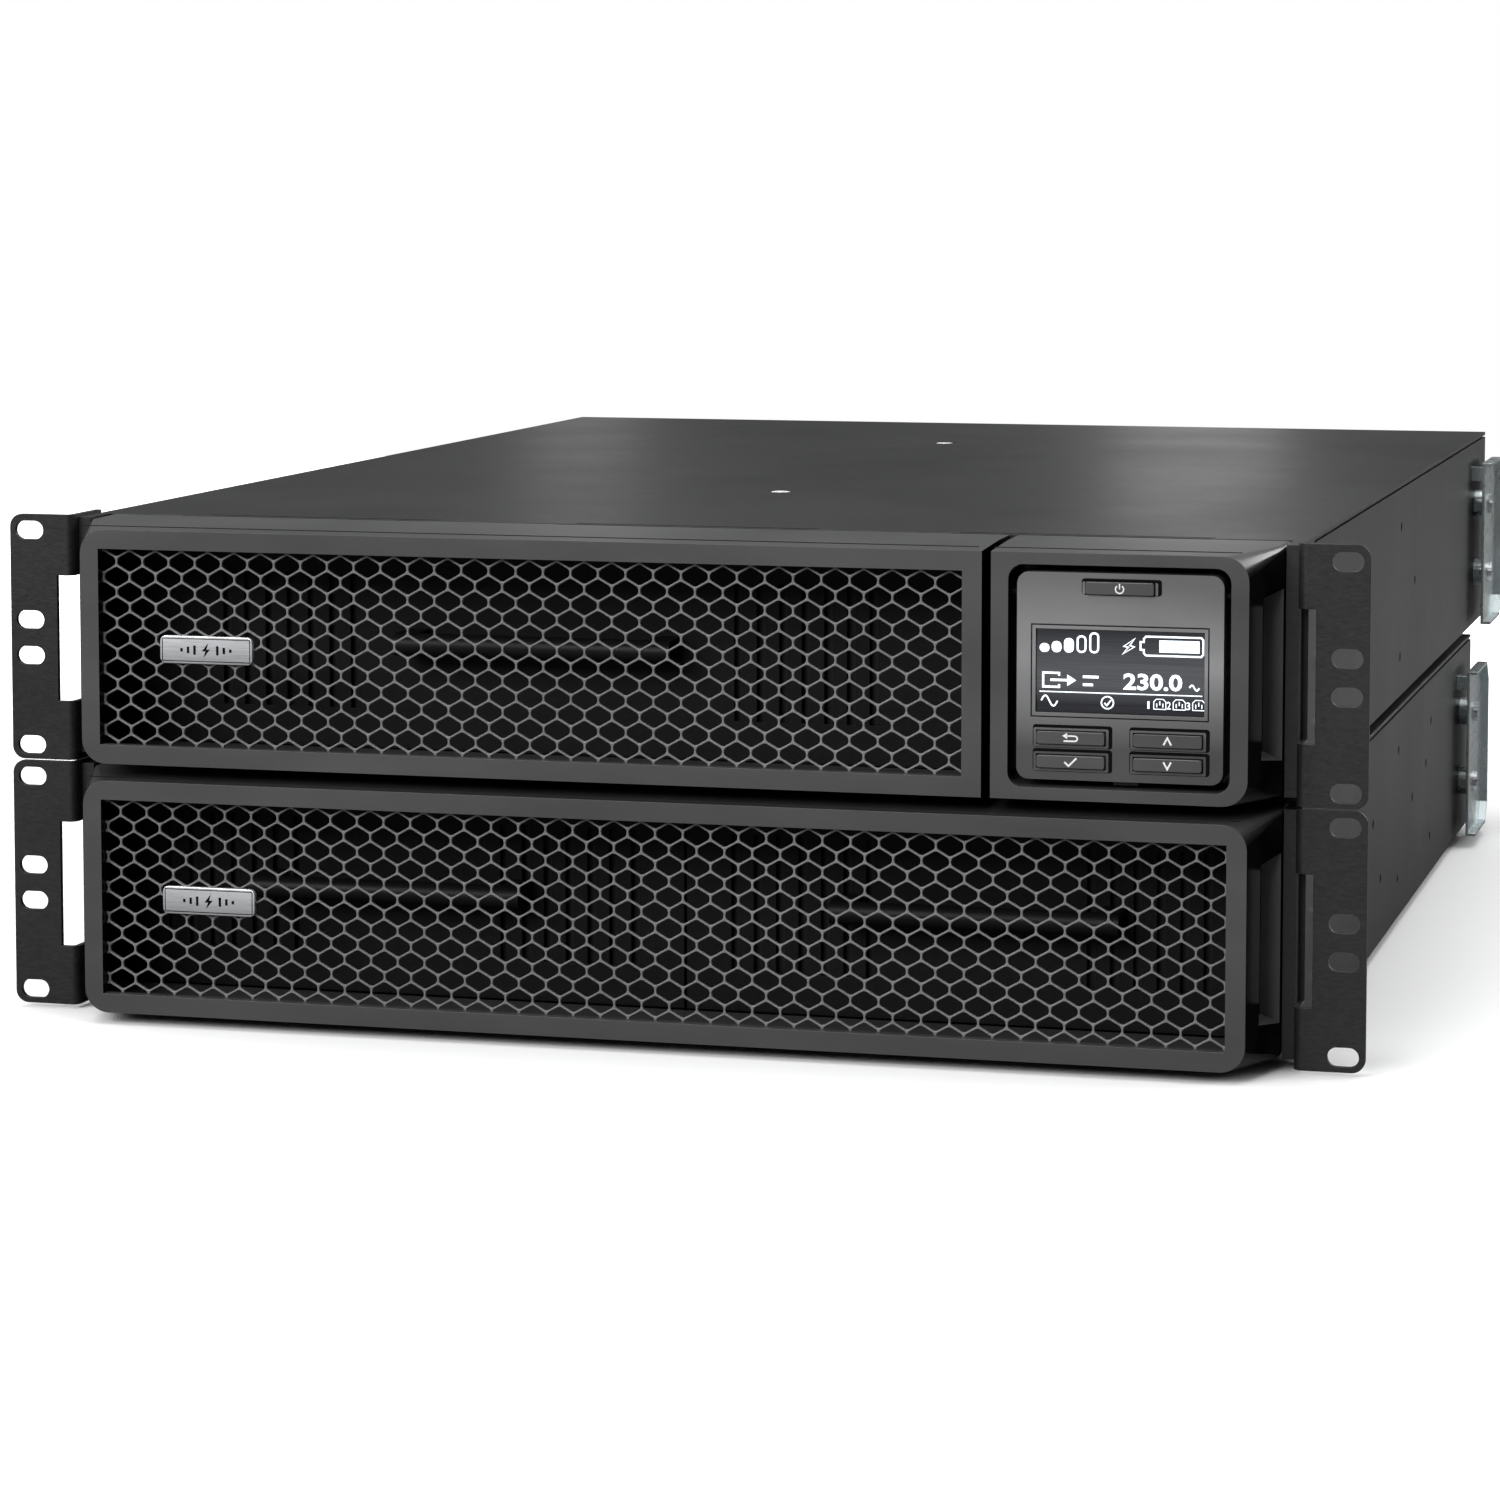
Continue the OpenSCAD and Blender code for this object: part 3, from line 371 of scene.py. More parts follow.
def add_piece(name, mesh, body, slot, replaced=(), material=None):
    """A mesh object that rides on a body and may stand for CAD nodes."""
    mesh.materials.clear()
    mesh.materials.append(material or MATERIALS[slot])
    piece = bpy.data.objects.new(name, mesh)
    bpy.context.scene.collection.objects.link(piece)
    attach(piece, body)
    if replaced:
        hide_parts(*replaced)
    smooth = piece.modifiers.new("even_normals", "WEIGHTED_NORMAL")
    smooth.mode = "FACE_AREA"
    smooth.weight = 100
    smooth.keep_sharp = True


def add_detail(name, bm, node, material, slot=None):
    """A thin extra piece that rides with a CAD node and leaves the node as it is."""
    add_piece(name, to_mesh(bm, name), BODY_OF[node], slot or SLOT_OF[node], material=MATERIALS[material])


def to_mesh(bm, name, sharp=32):
    mesh = bpy.data.meshes.new(name)
    bmesh.ops.recalc_face_normals(bm, faces=bm.faces)
    bm.to_mesh(mesh)
    bm.free()
    mesh.shade_smooth()
    mesh.set_sharp_from_angle(angle=math.radians(sharp))
    return mesh


def joined_faces(node):
    """The CAD node's surface with its triangles joined into flat faces."""
    bm = bmesh.new()
    bm.from_mesh(frame["nodes"][node].data)
    bmesh.ops.remove_doubles(bm, verts=bm.verts, dist=2e-6)
    bmesh.ops.dissolve_limit(bm, angle_limit=math.radians(0.5), verts=bm.verts, edges=bm.edges)
    return bm


def rounded_copy(node, width, segments=2):
    """The CAD node with its sharp edges rounded off, as real sheet and mouldings are."""
    bm = joined_faces(node)
    sharp = [e for e in bm.edges if len(e.link_faces) == 2 and e.calc_face_angle(0) > math.radians(35)]
    bmesh.ops.bevel(bm, geom=sharp, offset=width * MM, offset_type="OFFSET", segments=segments,
                    profile=0.5, affect="EDGES", clamp_overlap=True, loop_slide=True)
    name = "round_" + node
    look = MATERIALS.get(OWN_LOOK.get(node))
    add_piece(name, to_mesh(bm, name), BODY_OF[node], SLOT_OF[node], (node,), look)


def flat_shape(bm, points, y, thick):
    """A thin plate in X and Z from y towards -Y."""
    front = [bm.verts.new((x, y - thick, z)) for x, z in points]
    back = [bm.verts.new((x, y, z)) for x, z in points]
    bm.faces.new(front)
    bm.faces.new(back[::-1])
    for a in range(len(points)):
        b = (a + 1) % len(points)
        bm.faces.new((front[a], front[b], back[b], back[a]))


def ring_shape(bm, outer, inner, y, thick):
    """A thin plate with a hole; both outlines have as many points."""
    loops = [[bm.verts.new((x, d, z)) for x, z in line] for line in (outer, inner) for d in (y - thick, y)]
    out_front, out_back, in_front, in_back = loops
    for a in range(len(outer)):
        b = (a + 1) % len(outer)
        bm.faces.new((out_front[a], out_front[b], in_front[b], in_front[a]))
        bm.faces.new((out_back[b], out_back[a], in_back[a], in_back[b]))
        bm.faces.new((out_front[b], out_front[a], out_back[a], out_back[b]))
        bm.faces.new((in_front[a], in_front[b], in_back[b], in_back[a]))


def rectangle(x0, x1, z0, z1):
    """Corner points of a rectangle, from its first corner round."""
    return [(x0, z0), (x1, z0), (x1, z1), (x0, z1)]


def rounded_outline(x0, x1, z0, z1, r, steps=4):
    """Points of a rectangle with round corners, anticlockwise from the right."""
    centres = ((x1 - r, z1 - r), (x0 + r, z1 - r), (x0 + r, z0 + r), (x1 - r, z0 + r))
    points = []
    for quarter, (cx, cz) in enumerate(centres):
        points += arc(cx, cz, r, 90 * quarter, 90 * quarter + 90, steps)
    return points


def arc(cx, cz, r, start, end, steps):
    """Points of an arc between two angles in degrees."""
    angles = [math.radians(start + (end - start) * k / steps) for k in range(steps + 1)]
    return [(cx + r * math.cos(a), cz + r * math.sin(a)) for a in angles]


# ---------- mesh screens ----------

# the strands' own sizes are in mm, the cells' in metres
CELL_PITCH = 9.69 * MM
ROW_PITCH = 5.35 * MM
CELL_SIDE = 1.3 * MM
MESH_EDGE = 2.2 * MM
STRAND_HALF = 0.36
CORNER_R = 1.5 * MM
# how far each ring of a strand's section lies from the middle line, and how deep
STRAND_RINGS = ((0.16, 0.0), (0.27, 0.06), (STRAND_HALF, 0.24), (STRAND_HALF, 1.06), (0.28, 1.2))


def cell_corners():
    w, s, top = CELL_PITCH / 2, CELL_SIDE, ROW_PITCH - CELL_SIDE
    return [Vector(p) for p in ((w, s), (0, top), (-w, s), (-w, -s), (0, -top), (w, -s))]


def inner_outline(corners, inset, radius, steps=3):
    """The cell outline moved inwards, with an arc at each corner."""
    count, points = len(corners), []
    for k, corner in enumerate(corners):
        before = (corner - corners[k - 1]).normalized()
        after = (corners[(k + 1) % count] - corner).normalized()
        n0, n1 = Vector((-before.y, before.x)), Vector((-after.y, after.x))
        middle = (n0 + n1).normalized()
        centre = corner + middle * ((inset + radius) / middle.dot(n0))
        a0, a1 = math.atan2(-n0.y, -n0.x), math.atan2(-n1.y, -n1.x)
        if a1 < a0:
            a1 += 2 * math.pi
        for i in range(steps + 1):
            a = a0 + (a1 - a0) * i / steps
            points.append(centre + radius * Vector((math.cos(a), math.sin(a))))
    return points


def cell_template(y0, steps=3):
    """Vertices and faces of one cell's strands, from the shared middle lines to the hole."""
    corners = cell_corners()
    per = steps + 1
    verts = [(c.x, y0, c.y) for c in corners]
    for inset, depth in STRAND_RINGS:
        radius = CORNER_R + (STRAND_HALF - inset) * MM
        verts += [(p.x, y0 + depth * MM, p.y) for p in inner_outline(corners, inset * MM, radius, steps)]
    back = len(verts)
    verts += [(c.x, y0 + STRAND_RINGS[-1][1] * MM, c.y) for c in corners]
    faces, ring = [], per * 6
    for k in range(6):
        after = (k + 1) % 6
        for first, centre, turn in ((6, 0, 1), (back - ring, back, -1)):
            bend = [first + k * per + i for i in range(per)]
            for i in range(steps):
                faces.append((centre + k, bend[i], bend[i + 1])[::turn])
            faces.append((centre + k, bend[-1], first + after * per, centre + after)[::turn])
    for level in range(len(STRAND_RINGS) - 1):
        start = 6 + level * ring
        for i in range(ring):
            j = (i + 1) % ring
            faces.append((start + i, start + ring + i, start + ring + j, start + j))
    return verts, faces


def cell_centres(x0, x1, z0, z1):
    """Centres of the staggered cells that cover the area, with a spare one at each end of a row."""
    cols = math.floor((x1 - x0) / CELL_PITCH - 0.5)
    rows = math.ceil((z1 - z0) / ROW_PITCH / 2)
    left = (x0 + x1 - (cols + 0.5) * CELL_PITCH) / 2
    middle = (z0 + z1) / 2
    for j in range(-rows, rows):
        shift = 0.5 if j % 2 == 0 else 0
        for i in range(-1, cols + 2):
            yield left + (i + shift) * CELL_PITCH, middle + (j + 0.5) * ROW_PITCH


def repeated_cells(y0, centres):
    """All the cells in one mesh, with their shared edges joined."""
    base, base_faces = cell_template(y0)
    verts, faces = [], []
    for cx, cz in centres:
        start = len(verts)
        verts += [(x + cx, y, z + cz) for x, y, z in base]
        faces += [tuple(start + v for v in f) for f in base_faces]
    mesh = bpy.data.meshes.new("strands")
    mesh.from_pydata(verts, [], faces)
    bm = bmesh.new()
    bm.from_mesh(mesh)
    bpy.data.meshes.remove(mesh)
    bmesh.ops.remove_doubles(bm, verts=bm.verts, dist=1e-6)
    return bm


def mesh_screen(node):
    """Hexagonal strand mesh over the CAD sheet's whole area, cut off at its edges."""
    lo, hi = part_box(node)
    centres = cell_centres(lo.x + MESH_EDGE, hi.x - MESH_EDGE, lo.z + MESH_EDGE, hi.z - MESH_EDGE)
    bm = repeated_cells(lo.y, centres)
    for point, normal in (((lo.x, 0, 0), (-1, 0, 0)), ((hi.x, 0, 0), (1, 0, 0)),
                          ((0, 0, lo.z), (0, 0, -1)), ((0, 0, hi.z), (0, 0, 1))):
        bmesh.ops.bisect_plane(bm, geom=bm.verts[:] + bm.edges[:] + bm.faces[:], dist=1e-7,
                               plane_co=point, plane_no=normal, clear_outer=True)
        bmesh.ops.holes_fill(bm, edges=[e for e in bm.edges if e.is_boundary], sides=0)
    name = "strands_" + node
    add_piece(name, to_mesh(bm, name, 40), BODY_OF[node], SLOT_OF[node], (node,))


# ---------- symbols on the display ----------

SYMBOL_THICK = 0.04 * MM
LIFT = 0.01 * MM
# height of a figure in Blender's own font at size 1
CAP_HEIGHT = 0.72


def bent_line(bm, points, width, y, closed=False):
    """A line of even width through the points, as a thin plate."""
    pts = [Vector(p) for p in points]
    count = len(pts)
    sides = ([], [])
    for k, p in enumerate(pts):
        before = pts[k - 1] if closed or k else None
        after = pts[(k + 1) % count] if closed or k < count - 1 else None
        a = (p - before).normalized() if before is not None else (after - p).normalized()
        b = (after - p).normalized() if after is not None else a
        n0, n1 = Vector((-a.y, a.x)), Vector((-b.y, b.x))
        middle = (n0 + n1).normalized()
        reach = width / 2 / max(0.5, middle.dot(n0))
        sides[0].append(p + middle * reach)
        sides[1].append(p - middle * reach)
    if closed:
        ring_shape(bm, sides[0], sides[1], y, SYMBOL_THICK)
    else:
        flat_shape(bm, sides[0] + sides[1][::-1], y, SYMBOL_THICK)


def figures(bm, text, left, base, height, y, bold, wide):
    """Figures drawn with Blender's own font, standing in X and Z and as wide as asked."""
    curve = bpy.data.curves.new("figures", "FONT")
    curve.body = text
    curve.size = height / CAP_HEIGHT
    curve.offset = bold
    curve.extrude = SYMBOL_THICK / 2
    curve.resolution_u = 3
    writer = bpy.data.objects.new("figures", curve)
    bpy.context.scene.collection.objects.link(writer)
    bpy.context.view_layer.update()
    mesh = bpy.data.meshes.new_from_object(writer.evaluated_get(bpy.context.evaluated_depsgraph_get()))
    across = [v.co.x for v in mesh.vertices]
    stretch = wide / (max(across) - min(across))
    for v in mesh.vertices:
        v.co = (left + (v.co.x - min(across)) * stretch, y - SYMBOL_THICK / 2 - v.co.z, base + v.co.y)
    bm.from_mesh(mesh)
    bpy.data.objects.remove(writer)
    bpy.data.meshes.remove(mesh)


class Sketch:
    """Thin plates in front of a face, drawn in mm to the right of and above a point, or below it."""

    def __init__(self, x, z, y, downwards=False):
        self.x, self.z, self.y = x, z, y
        self.up = -MM if downwards else MM
        self.bm = bmesh.new()

    def at(self, points):
        return [(self.x + u * MM, self.z + v * self.up) for u, v in points]

    def line(self, points, width, closed=False):
        bent_line(self.bm, self.at(points), width * MM, self.y, closed)

    def plate(self, points):
        flat_shape(self.bm, self.at(points), self.y, SYMBOL_THICK)

    def ring(self, outer, inner):
        ring_shape(self.bm, self.at(outer), self.at(inner), self.y, SYMBOL_THICK)

    def figures(self, text, u, v, height, bold, wide):
        left, base = self.at([(u, v)])[0]
        figures(self.bm, text, left, base, height * MM, self.y, bold * MM, wide * MM)


def centred_sketch(lo, hi):
    return Sketch((lo.x + hi.x) / 2, (lo.z + hi.z) / 2, lo.y + LIFT)


def load_bars(screen):
    """Five bars of rising height: three full, two open."""
    foot, half, wall = 7.6, 1.65, 0.65
    for k, (u, tall) in enumerate(((2.6, 2.9), (6.6, 3.7), (10.7, 4.8), (14.9, 5.8), (19.1, 6.9))):
        r = min(1.5, tall / 2 - 0.05)
        bar = rounded_outline(u - half, u + half, foot - tall, foot, r)
        if k < 3:
            screen.plate(bar)
        else:
            top, low = foot - tall + wall, foot - wall
            screen.ring(bar, rounded_outline(u - half + wall, u + half - wall, top, low, 0.9))


def battery_symbol(screen):
    """A battery nearly full, with a charging bolt on its left."""
    shell = [(36.2, 1.6), (54.4, 1.6), (55, 2.3), (55, 7.1), (54.4, 7.8), (36.2, 7.8),
             (35.5, 7.1), (35.5, 6), (34.4, 6), (34.4, 3.4), (35.5, 3.4), (35.5, 2.3)]
    bolt = [(32.6, 2.3), (28.9, 5.0), (30.4, 5.3), (28.5, 7.6), (32.4, 5.1), (30.8, 4.7)]
    screen.line(shell, 0.6, closed=True)
    screen.plate(rectangle(40.6, 53.8, 2.7, 6.7))
    screen.line(bolt, 0.42, closed=True)


def sine(u, v, length, swing, steps):
    """Points of one full wave from (u, v)."""
    parts = [k / steps for k in range(steps + 1)]
    return [(u + length * t, v - swing * math.sin(math.tau * t)) for t in parts]


def output_symbol(screen):
    """An arrow leaving a frame, the volts, and a small wave behind them."""
    arrow = [(4.6, 16.3), (10.2, 16.3), (10.2, 14.8), (13.2, 16.7), (10.2, 18.6), (10.2, 17.1), (4.6, 17.1)]
    screen.line([(7.5, 15.3), (7.5, 14.4), (2.2, 14.4), (2.2, 19), (7.5, 19), (7.5, 18.1)], 0.7)
    screen.plate(arrow)
    for row, size in ((15.4, 5.2), (18.0, 3.4)):
        screen.plate(rectangle(15.4, 15.4 + size, row - 0.45, row + 0.45))
    screen.figures("230.0", 28.8, 19.0, 5.2, 0.2, 19.4)
    screen.line(sine(50.6, 18.0, 3.2, 0.9, 12), 0.5)


def numbered_outlet(screen, number, u):
    """A figure and a three-hole outlet whose middle is at u."""
    top, low = 22.0, 25.3
    screen.figures(str(number), u - 3.6, 25.2, 2.5, 0.04, 0.7 if number == 1 else 1.3)
    shell = [(u - 1.5, low), (u - 1.5, top + 0.9), (u - 0.6, top), (u + 1.6, top), (u + 2.5, top + 0.9),
             (u + 2.5, low)]
    screen.line(shell, 0.28, closed=True)
    for du, start in ((-0.5, 23.4), (0.5, 22.7), (1.5, 23.4)):
        screen.line([(u + du, start), (u + du, start + 1.3)], 0.34)


def status_row(screen):
    """Dividing line, sine wave, tick mark and three numbered outlets."""
    screen.line([(1.0, 20.6), (54.8, 20.6)], 0.35)
    screen.line(sine(1.6, 23.6, 5.4, 1.7, 20), 0.5)
    screen.line(arc(23.6, 23.7, 2.0, 0, 345, 23), 0.45, closed=True)
    screen.line([(22.6, 23.8), (23.4, 24.6), (24.8, 22.8)], 0.5)
    for k in range(3):
        numbered_outlet(screen, k + 1, 40.4 + 6.4 * k)


def screen_symbols():
    """Everything the screen shows, drawn from its top left corner as one thin lit piece."""
    lo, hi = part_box("display_lens")
    screen = Sketch(lo.x, hi.z, lo.y + LIFT, downwards=True)
    load_bars(screen)
    battery_symbol(screen)
    output_symbol(screen)
    status_row(screen)
    add_detail("screen_symbols", screen.bm, "display_lens", "screen_light")


def screen_outline():
    """The fine groove round the screen window, drawn as a dark line of painted shade on the panel."""
    lo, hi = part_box("display_lens")
    y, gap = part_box("display_shell")[0].y + LIFT, 1.5 * MM
    bm = bmesh.new()
    # painted shade of the groove, as a flat dark line
    bent_line(bm, rectangle(lo.x - gap, hi.x + gap, lo.z - gap, hi.z + gap), 0.28 * MM, y, closed=True)
    add_detail("screen_outline", bm, "display_shell", "dark_line")


# ---------- keys ----------

POWER_KEY_HEIGHT = 4.2 * MM


def key_face(node):
    """Corners of a key's visible face: the power key's box also holds its stem, below the face."""
    lo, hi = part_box(node)
    low = hi.z - POWER_KEY_HEIGHT if node == "power_button" else lo.z
    return Vector((lo.x, lo.y, low)), hi


def key_gaps():
    """Painted shade of the gap and side walls round each key, drawn on the panel as a dark ring: wider
    above and on the right, where it shows.
    """
    y, gap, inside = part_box("display_shell")[0].y + LIFT, 0.42 * MM, 0.02 * MM
    bm = bmesh.new()
    for node in KEYS:
        lo, hi = key_face(node)
        inner = rounded_outline(lo.x + inside, hi.x - inside, lo.z, hi.z - inside, 0.5 * MM)
        outer = rounded_outline(lo.x - gap * 0.5, hi.x + gap * 3.0,
                                lo.z - gap * 0.4, hi.z + gap * 2.4, 1.0 * MM)
        # a dark ring of painted shade round the key
        ring_shape(bm, outer, inner, y, SYMBOL_THICK)
    add_detail("key_gaps", bm, "display_shell", "dark_line")


def power_sign(key):
    key.line(arc(0, -0.15, 1.35, 128, 412, 22), 0.42)
    key.line([(0, -0.1), (0, 1.65)], 0.42)


def back_sign(key):
    bend = arc(1.5, -0.1, 0.85, -90, 90, 8)
    key.line([(-2.2, -0.95)] + bend + [(-1.2, 0.75)], 0.52)
    key.plate([(-1.0, 1.75), (-2.7, 0.75), (-1.0, -0.25)])


def tick_sign(key):
    key.line([(-1.9, 0.0), (-0.5, -1.25), (2.1, 1.4)], 0.58)


def up_sign(key):
    key.line([(-1.25, -1.15), (0, 1.2), (1.25, -1.15)], 0.58)


def down_sign(key):
    key.line([(-1.25, 1.15), (0, -1.2), (1.25, 1.15)], 0.58)


def key_symbols():
    """A printed symbol in the middle of each key."""
    for node, draw in zip(KEYS, (power_sign, back_sign, tick_sign, up_sign, down_sign)):
        key = centred_sketch(*key_face(node))
        draw(key)
        add_detail("symbol_" + node, key.bm, node, "key_ink")


# ---------- lid, bezels and badges ----------

# all in mm; the lid's slits and studs are placed from its middle, its front edge and its top
SLIT_X = (-131, 5, 141)
SLIT_HALF = 43.4
SLIT_FROM_FRONT = (1.05, 3.95)
SLIT_BELOW_TOP = (0.6, 0.03)
STUD_X = -6.6
STUD_FROM_FRONT = (160.2, 445.6)
# radius, and height against the lid's top, of each ring of a stud
STUD_RINGS = ((3.5, -0.6), (3.4, -0.16), (2.6, -0.05), (0.9, -0.03))


def flat_box(bm, x, y, z):
    corners = [bm.verts.new((x[i], y[j], z[k])) for i in (0, 1) for j in (0, 1) for k in (0, 1)]
    for a, b, c, d in ((0, 1, 3, 2), (4, 6, 7, 5), (0, 4, 5, 1), (2, 3, 7, 6), (0, 2, 6, 4), (1, 5, 7, 3)):
        bm.faces.new([corners[v] for v in (a, b, c, d)])


def lid_slits():
    """Dark plates of painted shade in the three slits along the lid's front edge, standing for their
    shadowed bottoms.
    """
    lo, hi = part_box("ups_cover")
    depth = [lo.y + d * MM for d in SLIT_FROM_FRONT]
    height = [hi.z - d * MM for d in SLIT_BELOW_TOP]
    bm = bmesh.new()
    for x in SLIT_X:
        # a dark plate of painted shade inside the slit
        flat_box(bm, ((x - SLIT_HALF) * MM, (x + SLIT_HALF) * MM), depth, height)
    add_detail("lid_slits", bm, "ups_cover", "dark_line")


def lid_studs(sides=24):
    """A bright domed stud in each of the lid's countersinks."""
    lo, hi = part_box("ups_cover")
    bm = bmesh.new()
    for depth in STUD_FROM_FRONT:
        loops = []
        for r, height in STUD_RINGS:
            ring = arc(STUD_X * MM, lo.y + depth * MM, r * MM, 0, 360 - 360 / sides, sides - 1)
            loops.append([bm.verts.new((x, y, hi.z + height * MM)) for x, y in ring])
        for under, over in zip(loops, loops[1:]):
            for k in range(sides):
                m = (k + 1) % sides
                bm.faces.new((under[k], under[m], over[m], over[k]))
        bm.faces.new(loops[-1])
        bm.faces.new(loops[0][::-1])
    add_detail("lid_studs", bm, "ups_cover", "stud_steel", "bright_steel")


def parting_line(node, left, right):
    """The fine dark joint along the front top edge of a moulding, kept clear of its round corners."""
    lo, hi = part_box(node)
    section = [(lo.y + a * MM, hi.z - b * MM) for a, b in ((0.03, 0.31), (0.31, 0.03), (0.26, 0.26))]
    bm = bmesh.new()
    ends = [[bm.verts.new((x, y, z)) for y, z in section] for x in (lo.x + left * MM, hi.x - right * MM)]
    for k in range(3):
        m = (k + 1) % 3
        bm.faces.new((ends[0][k], ends[0][m], ends[1][m], ends[1][k]))
    bm.faces.new(ends[0][::-1])
    bm.faces.new(ends[1])
    add_detail("joint_" + node, bm, node, "dark_line")


def badge_mark(node):
    """A plain bolt between bars inside a thin frame, drawn on the silver plate."""
    lo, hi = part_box(node)
    mark, margin, bar = centred_sketch(lo, hi), 0.9, 0.45
    half_x, half_z = (hi.x - lo.x) / 2 / MM - margin, (hi.z - lo.z) / 2 / MM - margin
    mark.line(rectangle(-half_x, half_x, -half_z, half_z), 0.3, closed=True)
    mark.plate([(0.9, 2.6), (-1.5, -0.35), (-0.2, -0.35), (-0.9, -2.6), (1.5, 0.35), (0.2, 0.35)])
    for reach, tall in ((4.2, 3.2), (6.6, 2.2), (9.0, 1.2)):
        for u in (-reach, reach):
            mark.plate(rectangle(u - bar, u + bar, -tall / 2, tall / 2))
    add_detail("mark_" + node, mark.bm, node, "dark_line")


# ---------- camera, light and floor ----------

# metres and degrees; the lens in mm
CAMERA_AT = (0.4197, -1.7422, 0.3060)
CAMERA_TURN = 15.046
CAMERA_TILT = 4.88
CAMERA_SHIFT = -0.15
SENSOR = 36
FOCAL = 107.0256
# name, place, aim, width and height in metres, watts
STUDIO = (
    ("key", (-0.95, -2.9, 1.6), (0, -0.3, 0.1), (2.4, 1.5), 105),
    ("top", (-0.2, 0.1, 2.6), (-0.1, 0.1, 0.0), (3.0, 3.0), 74),
    ("left", (-2.4, 0.6, 1.2), (-0.2, 0.1, 0.1), (1.0, 1.2), 14),
    ("right", (2.5, 0.2, 1.4), (0.2, 0.0, 0.1), (1.2, 1.0), 18),
    ("back", (1.7, 2.5, 1.7), (0.0, 0.3, 0.1), (1.4, 0.8), 26),
    ("side_sheen", (1.25, 2.5, 0.35), (0.22, 0.0, 0.1), (0.5, 0.6), 1.5),
    ("strip_left", (-0.60, 1.55, 0.42), (-0.1, 0.0, 0.18), (0.08, 0.6), 0.10),
    ("strip_right", (-0.12, 1.55, 0.42), (0.15, 0.0, 0.18), (0.12, 0.6), 0.22),
)


def add_to_scene(name, data):
    thing = bpy.data.objects.new(name, data)
    bpy.context.scene.collection.objects.link(thing)
    return thing


def make_camera():
    data = bpy.data.cameras.new("camera")
    data.sensor_width = SENSOR
    data.lens = FOCAL
    data.shift_y = CAMERA_SHIFT
    data.clip_start, data.clip_end = 0.05, 200
    camera = add_to_scene("camera", data)
    camera.location = CAMERA_AT
    camera.rotation_euler = (math.radians(90 - CAMERA_TILT), 0, math.radians(CAMERA_TURN))
    bpy.context.scene.camera = camera


def make_lights():
    for name, place, target, size, power in STUDIO:
        data = bpy.data.lights.new(name, "AREA")
        data.shape = "RECTANGLE"
        data.size, data.size_y = size
        data.energy = power
        light = add_to_scene(name, data)
        light.location = place
        light.visible_camera = False
        light.rotation_euler = (Vector(target) - Vector(place)).to_track_quat("-Z", "Y").to_euler()


def make_world():
    """White to the camera; to everything else a dim room, lighter overhead."""
    world = bpy.data.worlds.new("studio")
    bpy.context.scene.world = world
    t = Tree(world, empty=True)
    seen, room, mix = t.new("Background"), t.new("Background"), t.new("MixShader")
    set_inputs(seen, Color=(1, 1, 1, 1))
    set_inputs(room, Color=(0.95, 0.97, 1, 1))
    t.link(t.levels(t.axis("Generated", "Z"), 0.0, 0.9, 0.02, 0.34), room.inputs["Strength"])
    t.link(t.new("LightPath").outputs["Is Camera Ray"], mix.inputs[0])
    t.link(room.outputs[0], mix.inputs[1])
    t.link(seen.outputs[0], mix.inputs[2])
    t.link(mix.outputs[0], t.new("OutputWorld").inputs["Surface"])


def floor_material():
    """White to the camera, fading into the background; grey to the object, for deeper blacks."""
    t = material_tree("floor")
    t.nodes.remove(t.shader)
    camera_ray = t.new("LightPath").outputs["Is Camera Ray"]
    mix, reach, glow, both = t.new("MixShader"), t.new("VectorMath"), t.new("Emission"), t.new("AddShader")
    t.link(camera_ray, mix.inputs[0])
    for socket, low, high in ((1, 0.20, 0.22), (2, 0.93, 0.95)):
        matt = t.new("BsdfDiffuse")
        t.link(t.blend(t.noise(3), (low, low, low), (high, high, high)), matt.inputs["Color"])
        t.link(matt.outputs[0], mix.inputs[socket])
    reach.operation = "LENGTH"
    t.link(t.place, reach.inputs[0])
    fade = t.levels(reach.outputs["Value"], 0.55, 1.5, 0, 1)
    t.link(t.math("MULTIPLY", fade, camera_ray), glow.inputs["Strength"])
    t.link(mix.outputs[0], both.inputs[0])
    t.link(glow.outputs[0], both.inputs[1])
    t.link(both.outputs[0], t.nodes["Material Output"].inputs["Surface"])
    return t.holder


def make_floor():
    mesh = bpy.data.meshes.new("floor")
    half, near, far = 2.6, -2.6, 2.4
    corners = rectangle(-half, half, near, far)
    mesh.from_pydata([(x, y, 0) for x, y in corners], [], [(0, 1, 2, 3)])
    mesh.materials.append(floor_material())
    add_to_scene("floor", mesh)


# ---------- run ----------

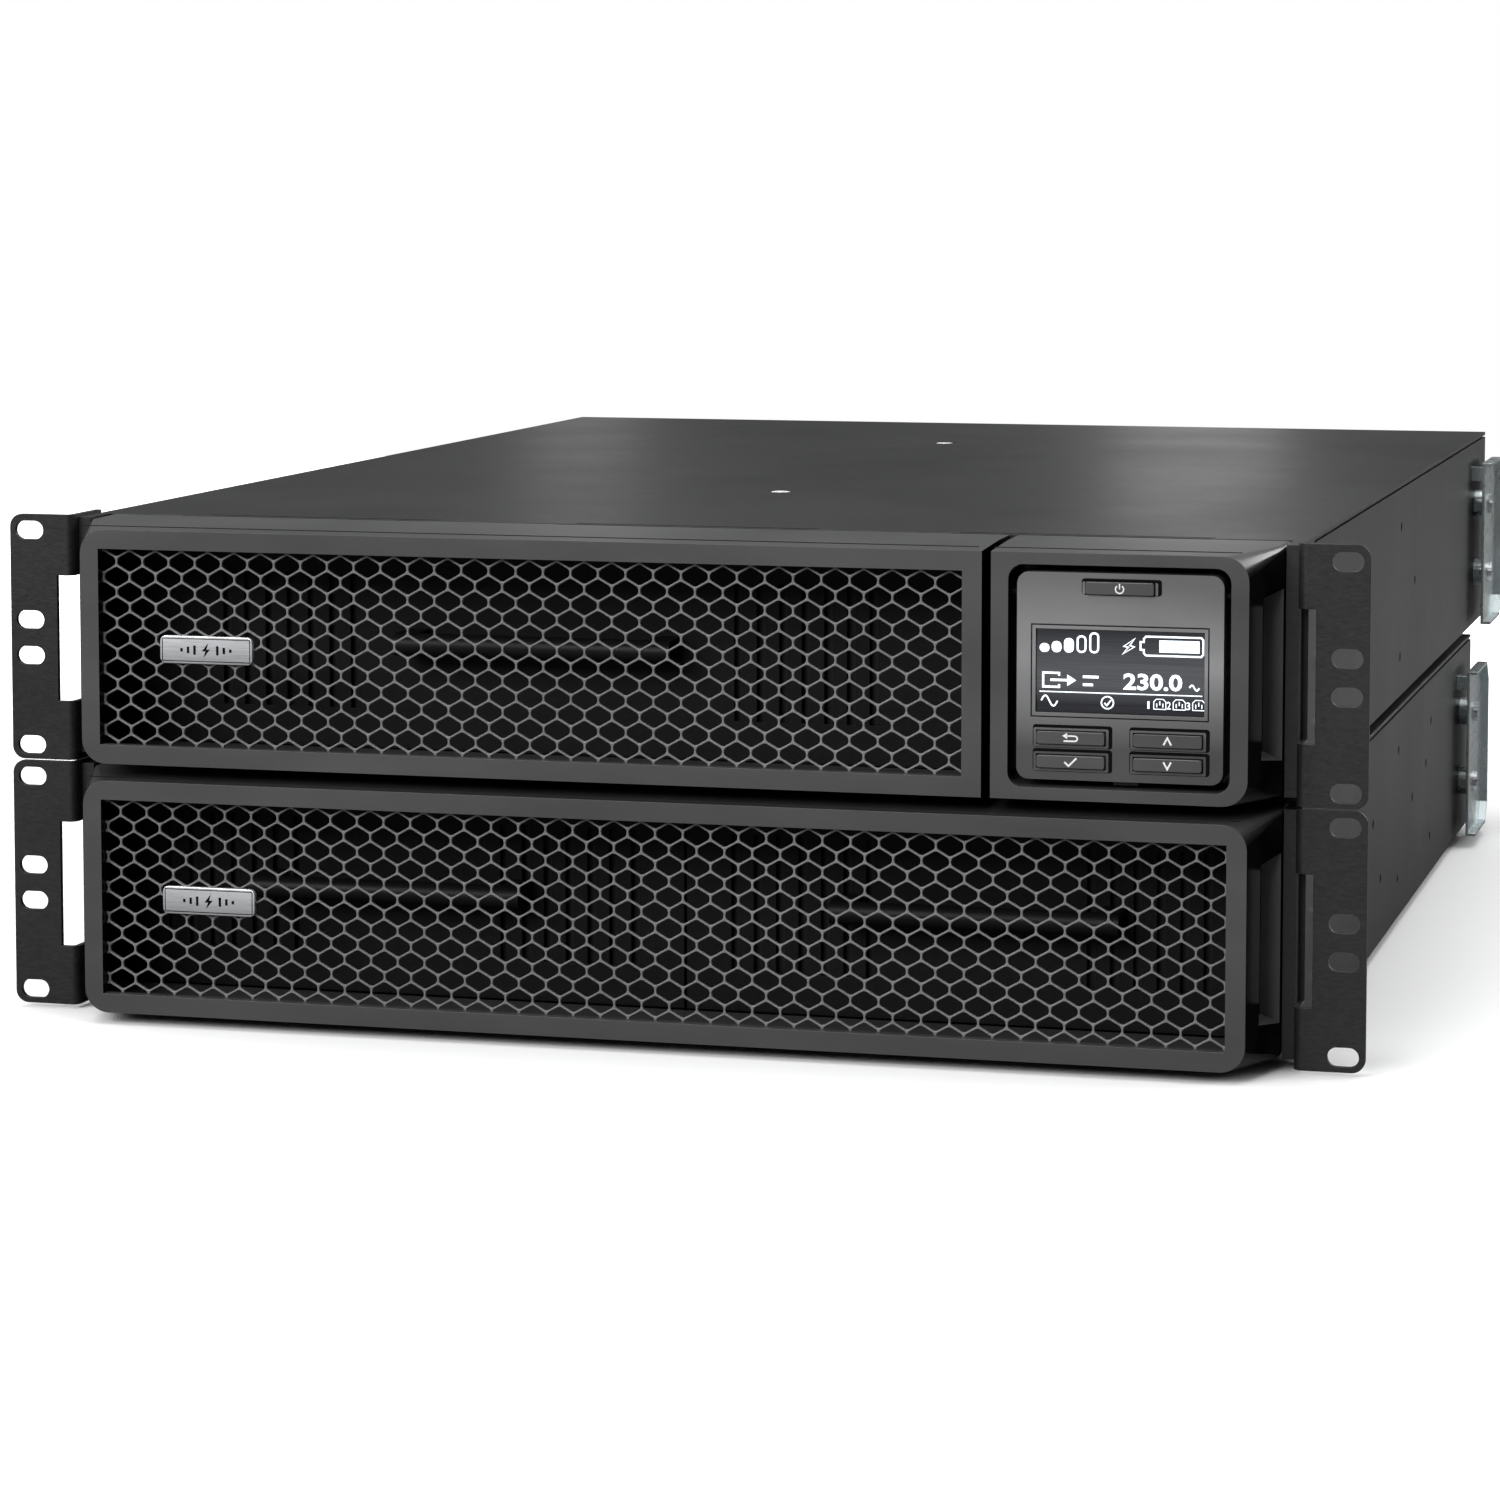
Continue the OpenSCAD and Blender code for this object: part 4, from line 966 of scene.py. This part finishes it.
# width in mm of the rounding on each node's edges
ROUNDED = {
    "ups_chassis": 0.35, "ups_cover": 0.45, "ups_rear_panel": 0.2, "grille_frame": 0.6,
    "display_bezel": 0.5, "display_shell": 0.5, "display_lens": 0.2, "ups_ears": 0.3,
    "ups_brackets": 0.4, "ups_badge": 0.35, "power_button": 0.3, "escape_button": 0.3,
    "enter_button": 0.3, "up_button": 0.3, "down_button": 0.3, "pack_chassis": 0.35,
    "pack_cover": 0.45, "pack_rear_panel": 0.2, "pack_frame": 0.6, "pack_ears": 0.3,
    "pack_brackets": 0.4, "pack_badge": 0.35, "screws": 0.15, "fan_guards": 0.5, "power_inlet": 0.3,
    "outlet_bank_left": 0.25, "outlet_bank_right": 0.25, "large_outlets": 0.25, "breaker_body": 0.4,
    "breaker_button": 0.4, "network_card": 0.2, "comm_ports": 0.25, "ups_link_socket": 0.35,
    "pack_link_sockets": 0.35, "pack_breaker": 0.4, "pack_breaker_lever": 0.4, "feet": 1.2,
    "battery_tray": 0.3, "battery_handle": 0.8, "pack_tray_left": 0.3, "pack_tray_right": 0.3,
    "pack_handle_left": 0.8, "pack_handle_right": 0.8, "fan_frame_left": 0.4,
    "fan_frame_right": 0.4, "fan_rotor_left": 0.3, "fan_rotor_right": 0.3,
}
# bezel, and how far its joint line stays from its left and right ends in mm
JOINTED = (("grille_frame", 9, 1), ("display_bezel", 1, 10), ("pack_frame", 9, 10))

make_camera()
make_world()
make_lights()
make_floor()
make_materials()
for node_name, node_object in frame["nodes"].items():
    node_object.data.materials.clear()
    node_object.data.materials.append(MATERIALS[SLOT_OF[node_name]])
for node_name, edge_width in ROUNDED.items():
    rounded_copy(node_name, edge_width)
for node_name in ("grille_mesh", "pack_mesh"):
    mesh_screen(node_name)
screen_symbols()
screen_outline()
key_gaps()
key_symbols()
lid_slits()
lid_studs()
for node_name, left_gap, right_gap in JOINTED:
    parting_line(node_name, left_gap, right_gap)
for node_name in ("ups_badge", "pack_badge"):
    badge_mark(node_name)
bpy.context.scene.view_settings.view_transform = "Standard"
